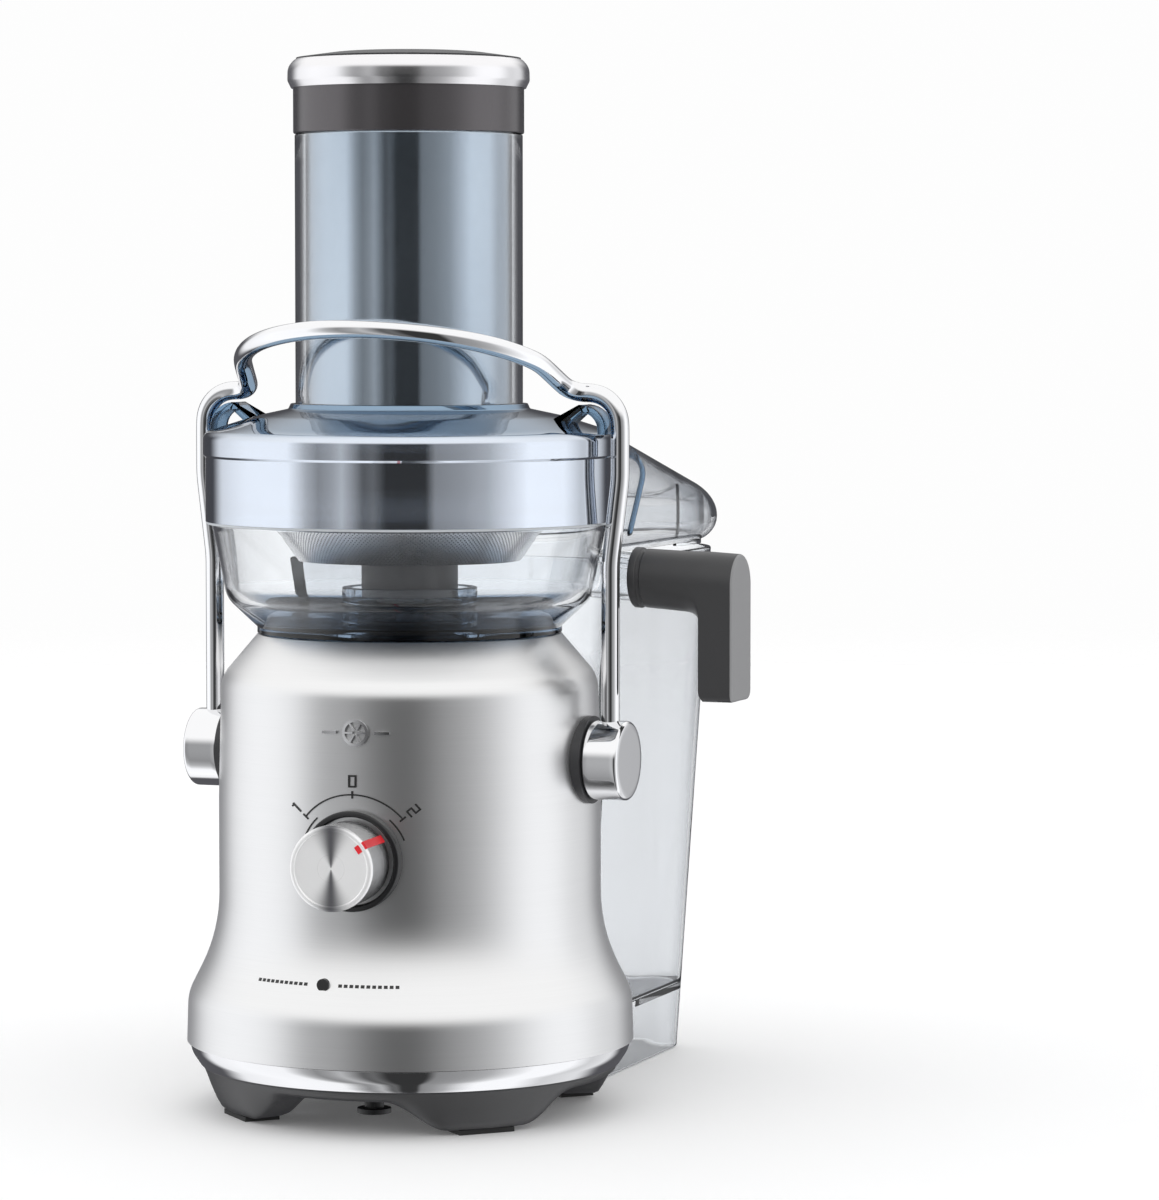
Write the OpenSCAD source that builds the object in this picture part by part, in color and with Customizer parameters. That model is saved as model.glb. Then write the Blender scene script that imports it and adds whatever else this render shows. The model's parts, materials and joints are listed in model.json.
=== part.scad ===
/* [Motor base] */
// Radius of the steel shell at its straight waist
shell_r = 79.3; // [78.8:0.1:79.8]
// Radius of the shell where it flares out above the trim ring
flare_r = 92.3; // [91:0.1:94]
// Height of the shell's top edge above the counter
shell_top = 198; // [197:0.5:199]
// Height of the shell's lower edge above the counter
shell_foot = 28.5; // [27.5:0.5:29.5]
// Thickness of the steel sheet
shell_wall = 1.2; // [0.8:0.1:1.6]
// Distance of each foot from the spindle
foot_r = 71; // [68:0.5:73]

/* [Bowl and cover] */
// Radius of the bowl at its rim
bowl_r = 81.7; // [81.2:0.1:82]
// Height of the bowl's rim
bowl_top = 243; // [242.5:0.5:243.5]
// Radius of the cover's rim
cover_r = 85.3; // [85:0.1:86]
// Thickness of the clear plastic walls
clear_wall = 2.5; // [2:0.1:2.8]
// Bore of the feed chute, sized for whole fruit
chute_bore = 88; // [87:0.5:89]
// Height of the feed chute's mouth
chute_top = 403; // [390:1:415]

/* [Pusher] */
// Clearance all round between the pusher and the chute
pusher_gap = 1.4; // [1:0.1:2]
// Radius of the pusher's steel cap
cap_r = 49.9; // [48.5:0.1:51]
// Height of the whole juicer with its pusher in place
overall_h = 439; // [439:1:455]

/* [Locking arm] */
// Diameter of the chromed rod
rod_d = 8; // [7:0.5:8.5]
// Height of the arm's pivot
pivot_z = 147; // [146:0.5:148]
// Distance from the spindle to each upright of the rod
rod_x = 88.4; // [88.2:0.1:88.8]
// Distance from the spindle to a pivot knob's outer face
knob_face_x = 96.5; // [95.5:0.5:98]
// How far forward of the spindle the arm's arch reaches
arch_y = 62; // [58:1:66]
// Height of the arch's middle line at its crest
arch_z = 323.5; // [318:0.5:328]

/* [Juice nozzle] */
// How far behind the spindle the spout's axis lies
spout_y = 22; // [21:0.5:24]
// Distance from the spindle to the nozzle's outer face
nozzle_face_x = 137.5; // [136:0.5:139]
// Height of the nozzle's outlet
nozzle_foot = 171; // [168:1:176]
// Downward slope of the spout in degrees
spout_drop = 3.4; // [3:0.1:4]

/* [Speed dial] */
// Height of the dial's axis
dial_z = 111; // [110:0.5:113]
// Turn of the dial's axis away from straight ahead, in degrees
dial_angle = 5; // [0:1:10]
// Radius of the dial knob
dial_r = 17.2; // [16:0.1:18]
// Distance from the spindle to the dial knob's face
dial_reach = 108; // [106:0.5:110]

/* [Pulp bin and hood] */
// Distance from the spindle back to the hood's tip
hood_back = 237; // [235:1:240]
// Height of the pulp bin's rim
bin_top = 226; // [222:1:227]
// Half the width of the bin at its rim
bin_half = 74; // [72:1:75]
// Half the width of the bin at the counter
bin_foot_half = 55; // [50:1:58]

/* [Hidden] */
$fn = 96;

// Overlap that lets one cut pass clean through a face
through = 0.1;
// The origin is under the middle of the whole juicer; the spindle stands here
front_reach = dial_reach * cos(dial_angle) + dial_r * sin(dial_angle);
spindle_x = (knob_face_x - nozzle_face_x) / 2;
spindle_y = (front_reach - hood_back) / 2;

// Base heights, from the counter up
pad_h = 2;
foot_h = 14;
floor_top = 19;
screw_r = 48;
peg_r = 40;
gland_place = [-17.6, 42.5];
gland_bore = 3.75;

// Motor, on the spindle's axis
shaft_r = 6;
bearing_r = 11;
running_gap = 0.05;
stator_r = 44;
rotor_r = 25;
pole_r = rotor_r + 1;
stator_z = [78, 120];
bracket_r = 52;
lower_z = 48;
upper_z = 150;
bracket_t = 4;
bolt_ring = 47;
post_ring = 40;

// Clear bowl, basket and cover
neck_r = 63.1;
cover_foot = 244;
cover_rim = 280.5;
flange_r = 48.9;
flange_z = 292.5;
lip_r = 80.5;
lip_top = 250;
chute_r = chute_bore / 2 + 3;
chute_foot = 240;
pusher_r = chute_bore / 2 - pusher_gap;
pusher_foot = 243;
collar_foot = chute_top + 0.3;
collar_top = 422;
basket_z = 228;
basket_foot_r = 46;
basket_top_r = 70.2;
basket_top = 262;
coupling_r = 11.5;

// Spout and nozzle
spout_r = 10;
spout_bore = 7.5;
spout_start = [75, spout_y, 222];
spout_len = 38;
outlet_r = 5.6;
outlet_x = nozzle_face_x - 7.25;

// Locking arm and its pivots
axle_r = 5;
knob_r = 16.3;
collar_r = 18;
collar_face_x = 81;

// Locking arm's middle line: an upright and a shoulder on each side, and the arch between them
arch_half = 66;
arm_side = [[rod_x, 0, pivot_z + 8], [rod_x, 0, 228], [92.5, 0, 262], [92.5, 0, 297.5],
    [71.5, 0, 297]];
arm_side_r = [0, 60, 60, 13, 9];
arch_steps = 20;
arch_end = 70;
function arch_point(a) = [70 * sin(a), -arch_y * cos(a), 299 + (arch_z - 299) * pow(cos(a), 0.8)];
arch = [for (i = [0 : arch_steps]) arch_point(arch_end - 2 * arch_end * i / arch_steps)];

function unit(v) = v / norm(v);
function flip_list(v) = [for (i = [len(v) - 1 : -1 : 0]) v[i]];
// A corner q of a line from p to s, rounded to radius r in n steps
function corner(p, q, s, r, n) =
    let (u = unit(p - q), v = unit(s - q), half = acos(u * v) / 2, sweep = 180 - 2 * half,
        c = q + unit(u + v) * r / sin(half), a = q + u * r / tan(half) - c,
        b = q + v * r / tan(half) - c)
    [for (i = [0 : n]) c + (a * sin(sweep * (1 - i / n)) + b * sin(sweep * i / n)) / sin(sweep)];
// A line through pts whose corners are rounded to the radii of the same number
function rounded(pts, radii, n = 6) = [for (i = [0 : len(pts) - 1])
    each (radii[i] == 0 ? [pts[i]] : corner(pts[i - 1], pts[i], pts[i + 1], radii[i], n))];

// The shell's side, from its foot up to its top edge, moved out by grow
function shell_line(grow) = rounded([[flare_r + 0.6 + grow, shell_foot], [flare_r + grow, 48],
    [shell_r + grow, 73.8], [shell_r + grow, 130], [shell_r - 1.2 + grow, 179.5],
    [neck_r - 0.2 + grow, shell_top]], [0, 19, 70, 0, 14, 0]);

// A straight-sided stack of cones from pts, turned about the spindle
module turned(pts) rotate_extrude() polygon(pts);
module ring(outer, inner, z0, z1) turned([[inner, z0], [outer, z0], [outer, z1], [inner, z1]]);
module at_spindle() translate([spindle_x, spindle_y, 0]) children();
// A frame whose z axis runs level out of the shell's front, a degrees round from straight ahead
module at_front(a, z) rotate([0, 0, a]) translate([0, 0, z]) rotate([90, 0, 0]) children();
// A frame whose z axis runs out sideways through the arm's pivot; side is 1 or -1
module at_pivot(side) translate([0, 0, pivot_z]) rotate([0, side * 90, 0]) children();
module along_spout() translate(spout_start) rotate([0, 90 + spout_drop, 0]) children();
module spokes(n, r, start = 0) for (i = [0 : n - 1])
    rotate([0, 0, start + i * 360 / n]) translate([r, 0, 0]) children();
module block(x, y, z) translate([x[0], y[0], z[0]]) cube([x[1] - x[0], y[1] - y[0], z[1] - z[0]]);

// Motor base: steel shell, trim, feet and underside
module outer_shell() color("silver") at_spindle() difference() {
    turned(concat(shell_line(0), flip_list(shell_line(-shell_wall))));
    at_front(dial_angle, dial_z) cylinder(r = 5.2, h = 100);
    at_front(-2, 61.4) cylinder(r = 2.6, h = 100);
    for (side = [-1, 1]) at_pivot(side) cylinder(r = axle_r, h = 100);
}

module trim_ring() color("gainsboro") at_spindle()
    turned(rounded([[82, floor_top], [85.2, floor_top], [91.6, shell_foot - 3], [91.6, shell_foot],
        [88.4, shell_foot]], [0, 0, 5, 0, 0]));

module vents() spokes(12, 16) block([0, 20], [-1.5, 1.5], [0, 40]);
module screw_places() spokes(4, screw_r, 45) children();

module foot_leg() hull() {
    block([57, 90], [-20, 20], [foot_h, foot_h + 1]);
    block([62, 90], [-15, 15], [pad_h, pad_h + 1]);
}

module base_foot() color("dimgray") at_spindle() difference() {
    union() {
        turned([[0, foot_h], [80.5, foot_h], [84.8, floor_top], [0, floor_top]]);
        spokes(4, 0, 45) intersection() {
            foot_leg();
            cylinder(r = 80.4, h = foot_h + 1);
        }
        for (x = [-24, 24], y = [57, 74]) translate([x, y, floor_top]) cylinder(r = 2.5, h = 5);
    }
    vents();
    screw_places() cylinder(r = 1.9, h = 40);
    translate([gland_place[0], gland_place[1], 0]) cylinder(r = 6, h = 40);
}

module rubber_feet() color("black") at_spindle()
    spokes(4, foot_r, 45) block([-7.5, 7.5], [-12, 12], [0, pad_h]);

module base_cover() color("darkslategray") at_spindle() difference() {
    translate([0, 0, foot_h - 3]) cylinder(r = 55, h = 3);
    vents();
    screw_places() cylinder(r = 1.9, h = 40);
    translate([gland_place[0], gland_place[1], 0]) cylinder(r = 6, h = 40);
}

module base_screws() color("silver") at_spindle() screw_places() {
    translate([0, 0, foot_h - 4.5]) cylinder(r = 3.8, h = 1.5);
    translate([0, 0, foot_h - 3.2]) cylinder(r = 1.9, h = 7);
}

module cord_pegs() color("dimgray") at_spindle() spokes(4, peg_r) {
    translate([0, 0, 5]) cylinder(r = 4, h = foot_h - 8);
    translate([0, 0, 3]) cylinder(r = 7, h = 2);
}

module cord_gland() color("black") at_spindle()
    translate([gland_place[0], gland_place[1], 0]) difference() {
        union() {
            translate([0, 0, 7]) cylinder(r = 6, h = 15);
            translate([0, 0, floor_top]) cylinder(r = 8, h = 2);
            translate([0, 0, 9]) cylinder(r = 8, h = 2);
        }
        cylinder(r = gland_bore, h = 40);
    }

module top_deck() color("dimgray") at_spindle() {
    turned([[8, 192], [61.6, 192], [61.6, shell_top], [22, shell_top], [22, 204], [14, 204],
        [14, shell_top], [8, shell_top]]);
    spokes(4, post_ring, 45) translate([0, 0, 164]) cylinder(r = 6, h = 28.05);
}

module shaft_seal() color("firebrick") at_spindle()
    ring(14, shaft_r + running_gap, shell_top, 204);

// Motor: two brackets, field, brushes and what holds them
module bracket(z) difference() {
    union() {
        translate([0, 0, z]) cylinder(r = bracket_r, h = bracket_t);
        translate([0, 0, z - 4]) cylinder(r = bearing_r + 3, h = bracket_t + 8);
    }
    cylinder(r = bearing_r, h = 300);
    spokes(4, bolt_ring, 45) cylinder(r = 2, h = 300);
    spokes(4, 28, 0) block([-7, 9], [-9, 9], [z - 10, z + 20]);
}

module lower_bracket() color("lightsteelblue") at_spindle() {
    bracket(lower_z);
    spokes(4, 45) translate([0, 0, floor_top]) cylinder(r = 5, h = lower_z - floor_top + 0.05);
}

module upper_bracket() color("lightsteelblue") at_spindle() bracket(upper_z);

module stator_core() color("slategray") at_spindle()
    translate([0, 0, stator_z[0]]) linear_extrude(stator_z[1] - stator_z[0]) difference() {
        circle(r = stator_r);
        difference() {
            circle(r = stator_r - 8);
            for (side = [-1, 1]) translate([-14, side * 22 - 18]) square([28, 36]);
        }
        circle(r = pole_r);
    }

module field_coils() color("chocolate") at_spindle() difference() {
    ring(stator_r - 8.5, pole_r + 1.5, stator_z[0] - 6, stator_z[1] + 6);
    block([-stator_r, stator_r], [-16, 16], [0, 300]);
    block([-14.5, 14.5], [-stator_r, stator_r], [stator_z[0] - through, stator_z[1] + through]);
}

module bearing(z) ring(bearing_r, shaft_r + running_gap, z, z + 10);
module lower_bearing() color("silver") at_spindle() bearing(lower_z - 3);
module upper_bearing() color("silver") at_spindle() bearing(upper_z - 3);

module both_sides() for (side = [0, 1]) mirror([side, 0, 0]) children();

module brush_holders() color("goldenrod") at_spindle() both_sides() difference() {
    block([22, 40], [-6, 6], [131, upper_z]);
    block([0, 60], [-4, 4], [133, 141]);
}

module carbon_brushes() color("black") at_spindle() both_sides()
    block([14.3, 34], [-3.9, 3.9], [133.1, 140.9]);

module motor_bolts() color("silver") at_spindle() spokes(4, bolt_ring, 45) {
    translate([0, 0, lower_z - 5]) cylinder(r = 2, h = upper_z - lower_z + 12);
    translate([0, 0, lower_z - 8]) cylinder(r = 3.6, h = 8);
}

module motor_mounts() color("black") at_spindle() spokes(4, post_ring, 45)
    translate([0, 0, upper_z + bracket_t]) cylinder(r = 5, h = 10);

module control_board() color("seagreen") at_spindle()
    block([-29, 29], [52, 78], [floor_top + 5, floor_top + 6.6]);

module board_capacitor() color("royalblue") at_spindle() {
    translate([-14, 65, floor_top + 6.6]) cylinder(r = 7, h = 20);
    translate([10, 65, floor_top + 6.6]) block([-8, 8], [-7, 7], [0, 12]);
}

// Front of the base: speed dial, overload lamp and emblem
module rotary_switch() color("black") at_spindle() at_front(dial_angle, dial_z) difference() {
    block([-12, 12], [-12, 12], [56, 70]);
    cylinder(r = 3 + running_gap, h = 100);
}

module dial_bezel() color("dimgray") at_spindle() difference() {
    at_front(dial_angle, dial_z) difference() {
        translate([0, 0, 74]) cylinder(r = 20.3, h = 8.4);
        cylinder(r = 5.2, h = 100);
        translate([0, 0, 81.4]) cylinder(r = 18.2, h = 5);
    }
    cylinder(r = shell_r, h = 300);
}

// A mark of the dial's scale, a degrees clockwise from the top
module scale_mark(a) rotate([0, 0, -a]) children();
module bars(list) for (b = list) translate([b[0], b[1]]) square([b[2], b[3]], center = true);
module digit_one() bars([[0, 0, 0.7, 5], [-0.6, 1.9, 1.2, 0.6]]);
module digit_zero() difference() {
    square([3.4, 5], center = true);
    square([2, 3.6], center = true);
}
module digit_two() bars([[0, 2.2, 3.2, 0.7], [1.3, 1.1, 0.7, 2.4], [0, 0, 3.2, 0.7],
    [-1.3, -1.1, 0.7, 2.4], [0, -2.2, 3.2, 0.7]]);
module scale_arc(r, a0, a1) intersection() {
    difference() {
        circle(r = r + 0.3);
        circle(r = r - 0.3);
    }
    polygon(concat([[0, 0]], [for (i = [0 : 8]) let (a = a0 + (a1 - a0) * i / 8)
        60 * [sin(a), cos(a)]]));
}

module dial_scale() color("black") at_spindle() intersection() {
    ring(shell_r + 0.25, shell_r, dial_z - 60, dial_z + 60);
    at_front(dial_angle, dial_z) linear_extrude(100) {
        scale_arc(26.6, -50, 50);
        scale_arc(22.6, -68, -42);
        scale_arc(22.6, 42, 68);
        for (a = [-50, 0, 50]) scale_mark(a) translate([0, 26.6]) square([0.7, 3], center = true);
        scale_mark(-50) translate([0, 32]) digit_one();
        scale_mark(0) translate([0, 32]) digit_zero();
        scale_mark(50) translate([0, 32]) digit_two();
    }
}

module overload_lamp() color("black") at_spindle()
    at_front(-2, 61.4) translate([0, 0, 80]) cylinder(r = 2.6, h = 6.6);

module emblem() color("gainsboro") at_spindle() intersection() {
    ring(shell_r + 0.9, shell_r - 0.5, 155, 170);
    difference() {
        at_front(6, 162.5) linear_extrude(100) {
            difference() {
                circle(r = 5.4);
                circle(r = 4.3);
            }
            for (a = [0 : 60 : 300]) rotate(a) translate([1, -0.35]) square([3.6, 0.7]);
            for (x = [-14, 8]) translate([x, -0.55]) square([6, 1.1]);
        }
        turned(concat([[0, shell_foot]], shell_line(0), [[0, shell_top]]));
    }
}

// Locking arm's fixed pivots
module pivot_collars() color("dimgray") at_spindle() difference() {
    for (side = [-1, 1]) at_pivot(side) difference() {
        translate([0, 0, 70]) cylinder(r = collar_r, h = collar_face_x - 70);
        cylinder(r = axle_r, h = 200);
    }
    turned(concat([[0, shell_foot]], shell_line(0), [[0, shell_top]]));
}

module pivot_axles() color("silver") at_spindle() for (side = [-1, 1]) at_pivot(side) {
    translate([0, 0, 70]) cylinder(r = axle_r, h = 20);
    translate([0, 0, 68]) cylinder(r = 8, h = 4);
}

module interlock_switch() color("firebrick") at_spindle() block([55, 67], [-8, 8], [127, 138]);

// Juice bowl, with a chimney round the drive and a spout on its right
module juice_bowl() color("lightblue", 0.5) at_spindle() difference() {
    union() {
        turned(concat([[0, shell_top]], rounded([[neck_r, shell_top], [neck_r, 200.5],
            [75.6, 212.2], [bowl_r, bowl_top], [lip_r, bowl_top], [lip_r, lip_top]],
            [0, 0, 12, 0, 0, 0]), [[0, lip_top]]));
        intersection() {
            along_spout() translate([0, 0, -12]) cylinder(r = spout_r, h = spout_len + 12);
            ring(200, 70, 100, 300);
        }
    }
    turned(concat([[28, 203]], rounded([[28, 203], [61, 203], [72.9, 214.5],
        [lip_r - 2.2, bowl_top], [lip_r - 2.2, lip_top + through]], [0, 0, 10, 0, 0]),
        [[0, lip_top + through], [0, 217], [28, 217]]));
    translate([0, 0, shell_top - through]) cylinder(r = 24.5, h = 30);
    along_spout() translate([0, 0, -14]) cylinder(r = spout_bore, h = 60);
}

// Cover: the clear lid, its hood over the pulp bin, the ears under the arm, and the chute
dome_line = rounded([[cover_r, 271.5], [cover_r, cover_rim], [64, 287.4], [flange_r + 1, 290.4]],
    [0, 5, 40, 0]);
module under_dome() turned([[0, 200], [cover_r, 200], [cover_r, cover_rim], [64, 287.4],
    [0, 287.4]]);

module cover() color("lightblue", 0.5) at_spindle() difference() {
    turned(concat([[84.3, cover_foot], [84.3, 270.5]], dome_line, [[flange_r, flange_z],
        [chute_r, flange_z], [chute_r, 287.9], [64, 284.9], [84.3 - clear_wall, 277],
        [84.3 - clear_wall, cover_foot]]));
    block([-52, 52], [40, 100], [250, 262]);
}

module cover_seal() color("gainsboro") at_spindle()
    turned([[lip_r, bowl_top], [lip_r + 3.4, bowl_top], [lip_r + 3.4, cover_foot],
        [lip_r + 1.3, cover_foot], [lip_r + 1.3, cover_foot + 3.5], [lip_r, cover_foot + 3.5]]);

// The hood's outline from above, and its outline from the side, both drawn in by wall
module hood_plan(wall) hull() {
    translate([0, hood_back - 77]) circle(r = 77 - wall);
    translate([-77 + wall, 20]) square([154 - 2 * wall, 10]);
}
module hood_side(wall, foot) polygon(rounded([[20, foot], [20, 284 - wall],
    [204 - wall, 248.2 - wall], [hood_back - wall, 233], [hood_back - wall, foot]],
    [0, 0, 44 - wall, 6, 0]));
module hood_form(wall, foot) intersection() {
    translate([0, 0, 200]) linear_extrude(100) hood_plan(wall);
    rotate([90, 0, 90]) linear_extrude(200, center = true) hood_side(wall, foot);
}

module cover_hood() color("lightblue", 0.5) at_spindle() difference() {
    hood_form(0, 228);
    hood_form(clear_wall, 220);
    cylinder(r = cover_r, h = 400);
}

module cover_ears() color("lightblue", 0.5) at_spindle() difference() {
    both_sides() translate([0, 6, 0]) rotate([90, 0, 0]) linear_extrude(12) difference() {
        polygon(rounded([[60, 276], [65, 281], [76, 292.6], [88, 292.6], [88, 276]],
            [0, 0, 3, 10, 0]));
        polygon(rounded([[69, 276], [70.5, 281], [77.5, 288.8], [84.2, 288.8], [84.2, 276]],
            [0, 0, 2, 5, 0]));
    }
    under_dome();
}

module feed_chute() color("lightblue", 0.5) at_spindle()
    ring(chute_r, chute_bore / 2, chute_foot, chute_top);

// Turning parts, from the fan up to the grating disc
module rotor_core() color("slategray") at_spindle() ring(rotor_r, shaft_r, 79, 119);
module commutator() color("peru") at_spindle() ring(14, shaft_r, 128, 144);
module rotor_shaft() color("silver") at_spindle() ring(shaft_r, 0, 42, 218);

module cooling_fan() color("ivory") at_spindle() difference() {
    union() {
        translate([0, 0, 57]) cylinder(r = 42, h = 2);
        translate([0, 0, 57]) cylinder(r = 11, h = 11);
        spokes(11, 0) rotate([0, 0, 8]) block([9, 41], [-1, 1], [58, 68]);
    }
    cylinder(r = shaft_r, h = 100);
}

module drive_coupling() color("dimgray") at_spindle() difference() {
    translate([0, 0, 207]) cylinder(r = coupling_r, h = 15, $fn = 6);
    translate([0, 0, 200]) cylinder(r = shaft_r, h = 18);
}

module basket_hub() color("darkslategray") at_spindle() difference() {
    translate([0, 0, 210]) cylinder(r = 20, h = basket_z - 210);
    translate([0, 0, 200]) cylinder(r = coupling_r + 0.1, h = 22.1, $fn = 6);
}

module filter_basket() color("silver") at_spindle()
    turned([[0, basket_z], [basket_foot_r, basket_z], [basket_top_r, basket_top],
        [basket_top_r - 1.1, basket_top], [basket_foot_r - 0.6, basket_z + 1],
        [0, basket_z + 1]]);

module basket_rim() color("gainsboro") at_spindle()
    turned([[basket_top_r, basket_top - 3], [73, basket_top - 3], [73, basket_top + 3],
        [basket_top_r - 1.1, basket_top + 3], [basket_top_r - 1.1, basket_top],
        [basket_top_r, basket_top]]);

module grating_disc() color("silver") at_spindle() {
    translate([0, 0, basket_z + 1]) cylinder(r = 44, h = 1.2);
    for (row = [0 : 4]) spokes(8, 14 + row * 6.5, row * 21)
        block([-0.4, 0.4], [-1.2, 1.2], [basket_z + 2, basket_z + 3.6]);
}

module disc_cap() color("gray") at_spindle()
    turned(rounded([[0, basket_z + 2.2], [8, basket_z + 2.2], [8, basket_z + 6],
        [0, basket_z + 7]], [0, 0, 2, 0]));

// Locking arm: a round rod along its middle line, and the two pivot knobs it swings on
function mirrored(v) = [for (p = flip_list(v)) [-p[0], p[1], p[2]]];
arm_line = rounded(concat(arm_side, arch, mirrored(arm_side)),
    concat(arm_side_r, [for (p = arch) 0], flip_list(arm_side_r)), 5);
function tangents(line) = [for (i = [0 : len(line) - 1])
    unit(line[min(i + 1, len(line) - 1)] - line[max(i - 1, 0)])];
function square_to(n, t) = unit(n - (n * t) * t);

// A closed tube of radius r along line, each ring carried on from the one before it
module rod(line, r, sides = 12) {
    ts = tangents(line);
    normals = [for (i = 0, n = square_to([0, 1, 0], ts[0]); i < len(line); i = i + 1,
        n = i < len(line) ? square_to(n, ts[i]) : n) n];
    points = [for (i = [0 : len(line) - 1]) for (k = [0 : sides - 1])
        line[i] + r * (cos(360 * k / sides) * normals[i]
            + sin(360 * k / sides) * cross(ts[i], normals[i]))];
    last = (len(line) - 1) * sides;
    polyhedron(points, concat([[for (k = [sides - 1 : -1 : 0]) k]],
        [[for (k = [0 : sides - 1]) last + k]],
        [for (i = [0 : len(line) - 2]) for (k = [0 : sides - 1])
            [i * sides + k, i * sides + (k + 1) % sides, (i + 1) * sides + (k + 1) % sides,
                (i + 1) * sides + k]]));
}

module locking_arm() color("gainsboro") at_spindle() rod(arm_line, rod_d / 2);

module pivot_knobs() color("gainsboro") at_spindle() for (side = [-1, 1]) difference() {
    at_pivot(side) difference() {
        rotate_extrude() polygon(rounded([[0, collar_face_x + 0.3], [knob_r, collar_face_x + 0.3],
            [knob_r, knob_face_x], [0, knob_face_x]], [0, 1.2, 1.6, 0]));
        cylinder(r = axle_r + running_gap, h = 90.5);
    }
    translate([side * rod_x, 0, pivot_z + 8]) cylinder(r = rod_d / 2 + 0.02, h = 20);
}

// Speed dial
module dial_shaft() color("silver") at_spindle() at_front(dial_angle, dial_z)
    translate([0, 0, 58]) cylinder(r = 3, h = 42);

module pointer_place() rotate([0, 0, -55]) block([-1.6, 1.6], [13, dial_r + 0.4],
    [84.5, dial_reach - 0.2]);

module dial_knob() color("silver") at_spindle() at_front(dial_angle, dial_z) difference() {
    rotate_extrude() polygon(rounded([[0, 82.7], [dial_r - 0.6, 82.7], [dial_r, dial_reach],
        [0, dial_reach]], [0, 0, 1.2, 0]));
    cylinder(r = 3, h = 100);
    pointer_place();
}

module dial_pointer() color("crimson") at_spindle() at_front(dial_angle, dial_z) pointer_place();

// Pusher
module pusher_body() color("lightsteelblue", 0.7) at_spindle()
    turned(rounded([[0, pusher_foot], [pusher_r, pusher_foot], [pusher_r, collar_top],
        [pusher_r - clear_wall, collar_top], [pusher_r - clear_wall, pusher_foot + 3],
        [0, pusher_foot + 3]], [0, 2, 0, 0, 0, 0]));

module pusher_collar() color("dimgray") at_spindle() ring(47.6, pusher_r, collar_foot, collar_top);

module pusher_cap() color("gainsboro") at_spindle()
    turned(rounded([[0, collar_top], [cap_r - 1, collar_top], [cap_r, collar_top + 3],
        [cap_r, overall_h - 3], [cap_r - 2.6, overall_h - 1.4], [0, overall_h - 1.4]],
        [0, 0, 3, 3, 0, 0]));

module pusher_top() color("dimgray") at_spindle()
    turned([[0, overall_h - 1.4], [cap_r - 4, overall_h - 1.4], [cap_r - 8, overall_h - 0.6],
        [0, overall_h]]);

// Pulp bin: clear tub drawn back from under the hood, hollowed round the base
module bin_form(wall, foot, top) hull() {
    translate([0, 0, foot]) linear_extrude(0.5) hull() both_sides() {
        translate([bin_foot_half - 18, 180]) circle(r = 18 - wall, $fn = 32);
        translate([bin_foot_half - wall - 1, 60]) square(1);
    }
    translate([0, 0, top - 0.5]) linear_extrude(0.5) hull() both_sides() {
        translate([bin_half - 50, 165]) circle(r = 50 - wall, $fn = 32);
        translate([bin_half - wall - 1, 25]) square(1);
    }
}
// The space that the base and bowl need in front of the bin
module base_clearance(gap) turned(concat([[0, -1], [flare_r + gap, -1]],
    [for (p = shell_line(gap)) if (p[0] < 95) p], [[bowl_r + gap, 212], [bowl_r + gap, 300],
        [0, 300]]));

module pulp_bin() color("lightblue", 0.5) at_spindle() difference() {
    bin_form(0, 0.6, bin_top);
    difference() {
        bin_form(clear_wall, 0.6, bin_top + 0.6);
        base_clearance(3 + clear_wall);
        block([-100, 100], [0, 300], [27, 30]);
    }
    base_clearance(3);
}

// Juice nozzle: a socket over the spout, an elbow and a square-cut outlet
module nozzle_outline() polygon(rounded([[-7.25, -13], [7.25, -13], [7.25, 13], [-7.25, 13]],
    [0, 3, 3, 0]));

module nozzle() color("dimgray") at_spindle() difference() {
    union() {
        along_spout() {
            translate([0, 0, 16.7]) cylinder(r = 12.6, h = 3);
            translate([0, 0, 19.7]) cylinder(r = 11.8, h = 2);
            translate([0, 0, 21.7]) cylinder(r = 12.15, h = 34);
        }
        translate([outlet_x, spout_y, nozzle_foot]) linear_extrude(59) nozzle_outline();
        translate([outlet_x - 7, spout_y + 5, 0]) rotate([90, 0, 0]) linear_extrude(10)
            polygon([[-12, 209], [1, 209], [1, 193]]);
    }
    along_spout() cylinder(r = spout_r + 0.3, h = spout_len + 1);
    along_spout() translate([0, 0, spout_len - 2]) cylinder(r = spout_bore, h = 18);
    translate([outlet_x, spout_y, nozzle_foot - through]) cylinder(r = outlet_r, h = 24);
    translate([outlet_x, spout_y, nozzle_foot + 23]) cylinder(r = 6, h = 26);
    along_spout() translate([0, 0, 24]) cylinder(r = spout_r + 1, h = 3);
}

module nozzle_seal() color("black") at_spindle() along_spout() difference() {
    translate([0, 0, 24.1]) cylinder(r = spout_r + 0.95, h = 2.8);
    cylinder(r = spout_r + 0.1, h = 60);
}

outer_shell();
trim_ring();
base_foot();
rubber_feet();
base_cover();
base_screws();
cord_pegs();
cord_gland();
top_deck();
shaft_seal();
lower_bracket();
upper_bracket();
stator_core();
field_coils();
lower_bearing();
upper_bearing();
brush_holders();
carbon_brushes();
motor_bolts();
motor_mounts();
control_board();
board_capacitor();
rotary_switch();
dial_bezel();
dial_scale();
overload_lamp();
emblem();
pivot_collars();
pivot_axles();
interlock_switch();
juice_bowl();
cover();
cover_seal();
cover_hood();
cover_ears();
feed_chute();
rotor_core();
commutator();
rotor_shaft();
cooling_fan();
drive_coupling();
basket_hub();
filter_basket();
basket_rim();
grating_disc();
disc_cap();
locking_arm();
pivot_knobs();
dial_shaft();
dial_knob();
dial_pointer();
pusher_body();
pusher_collar();
pusher_cap();
pusher_top();
pulp_bin();
nozzle();
nozzle_seal();
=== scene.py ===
import json

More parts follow.
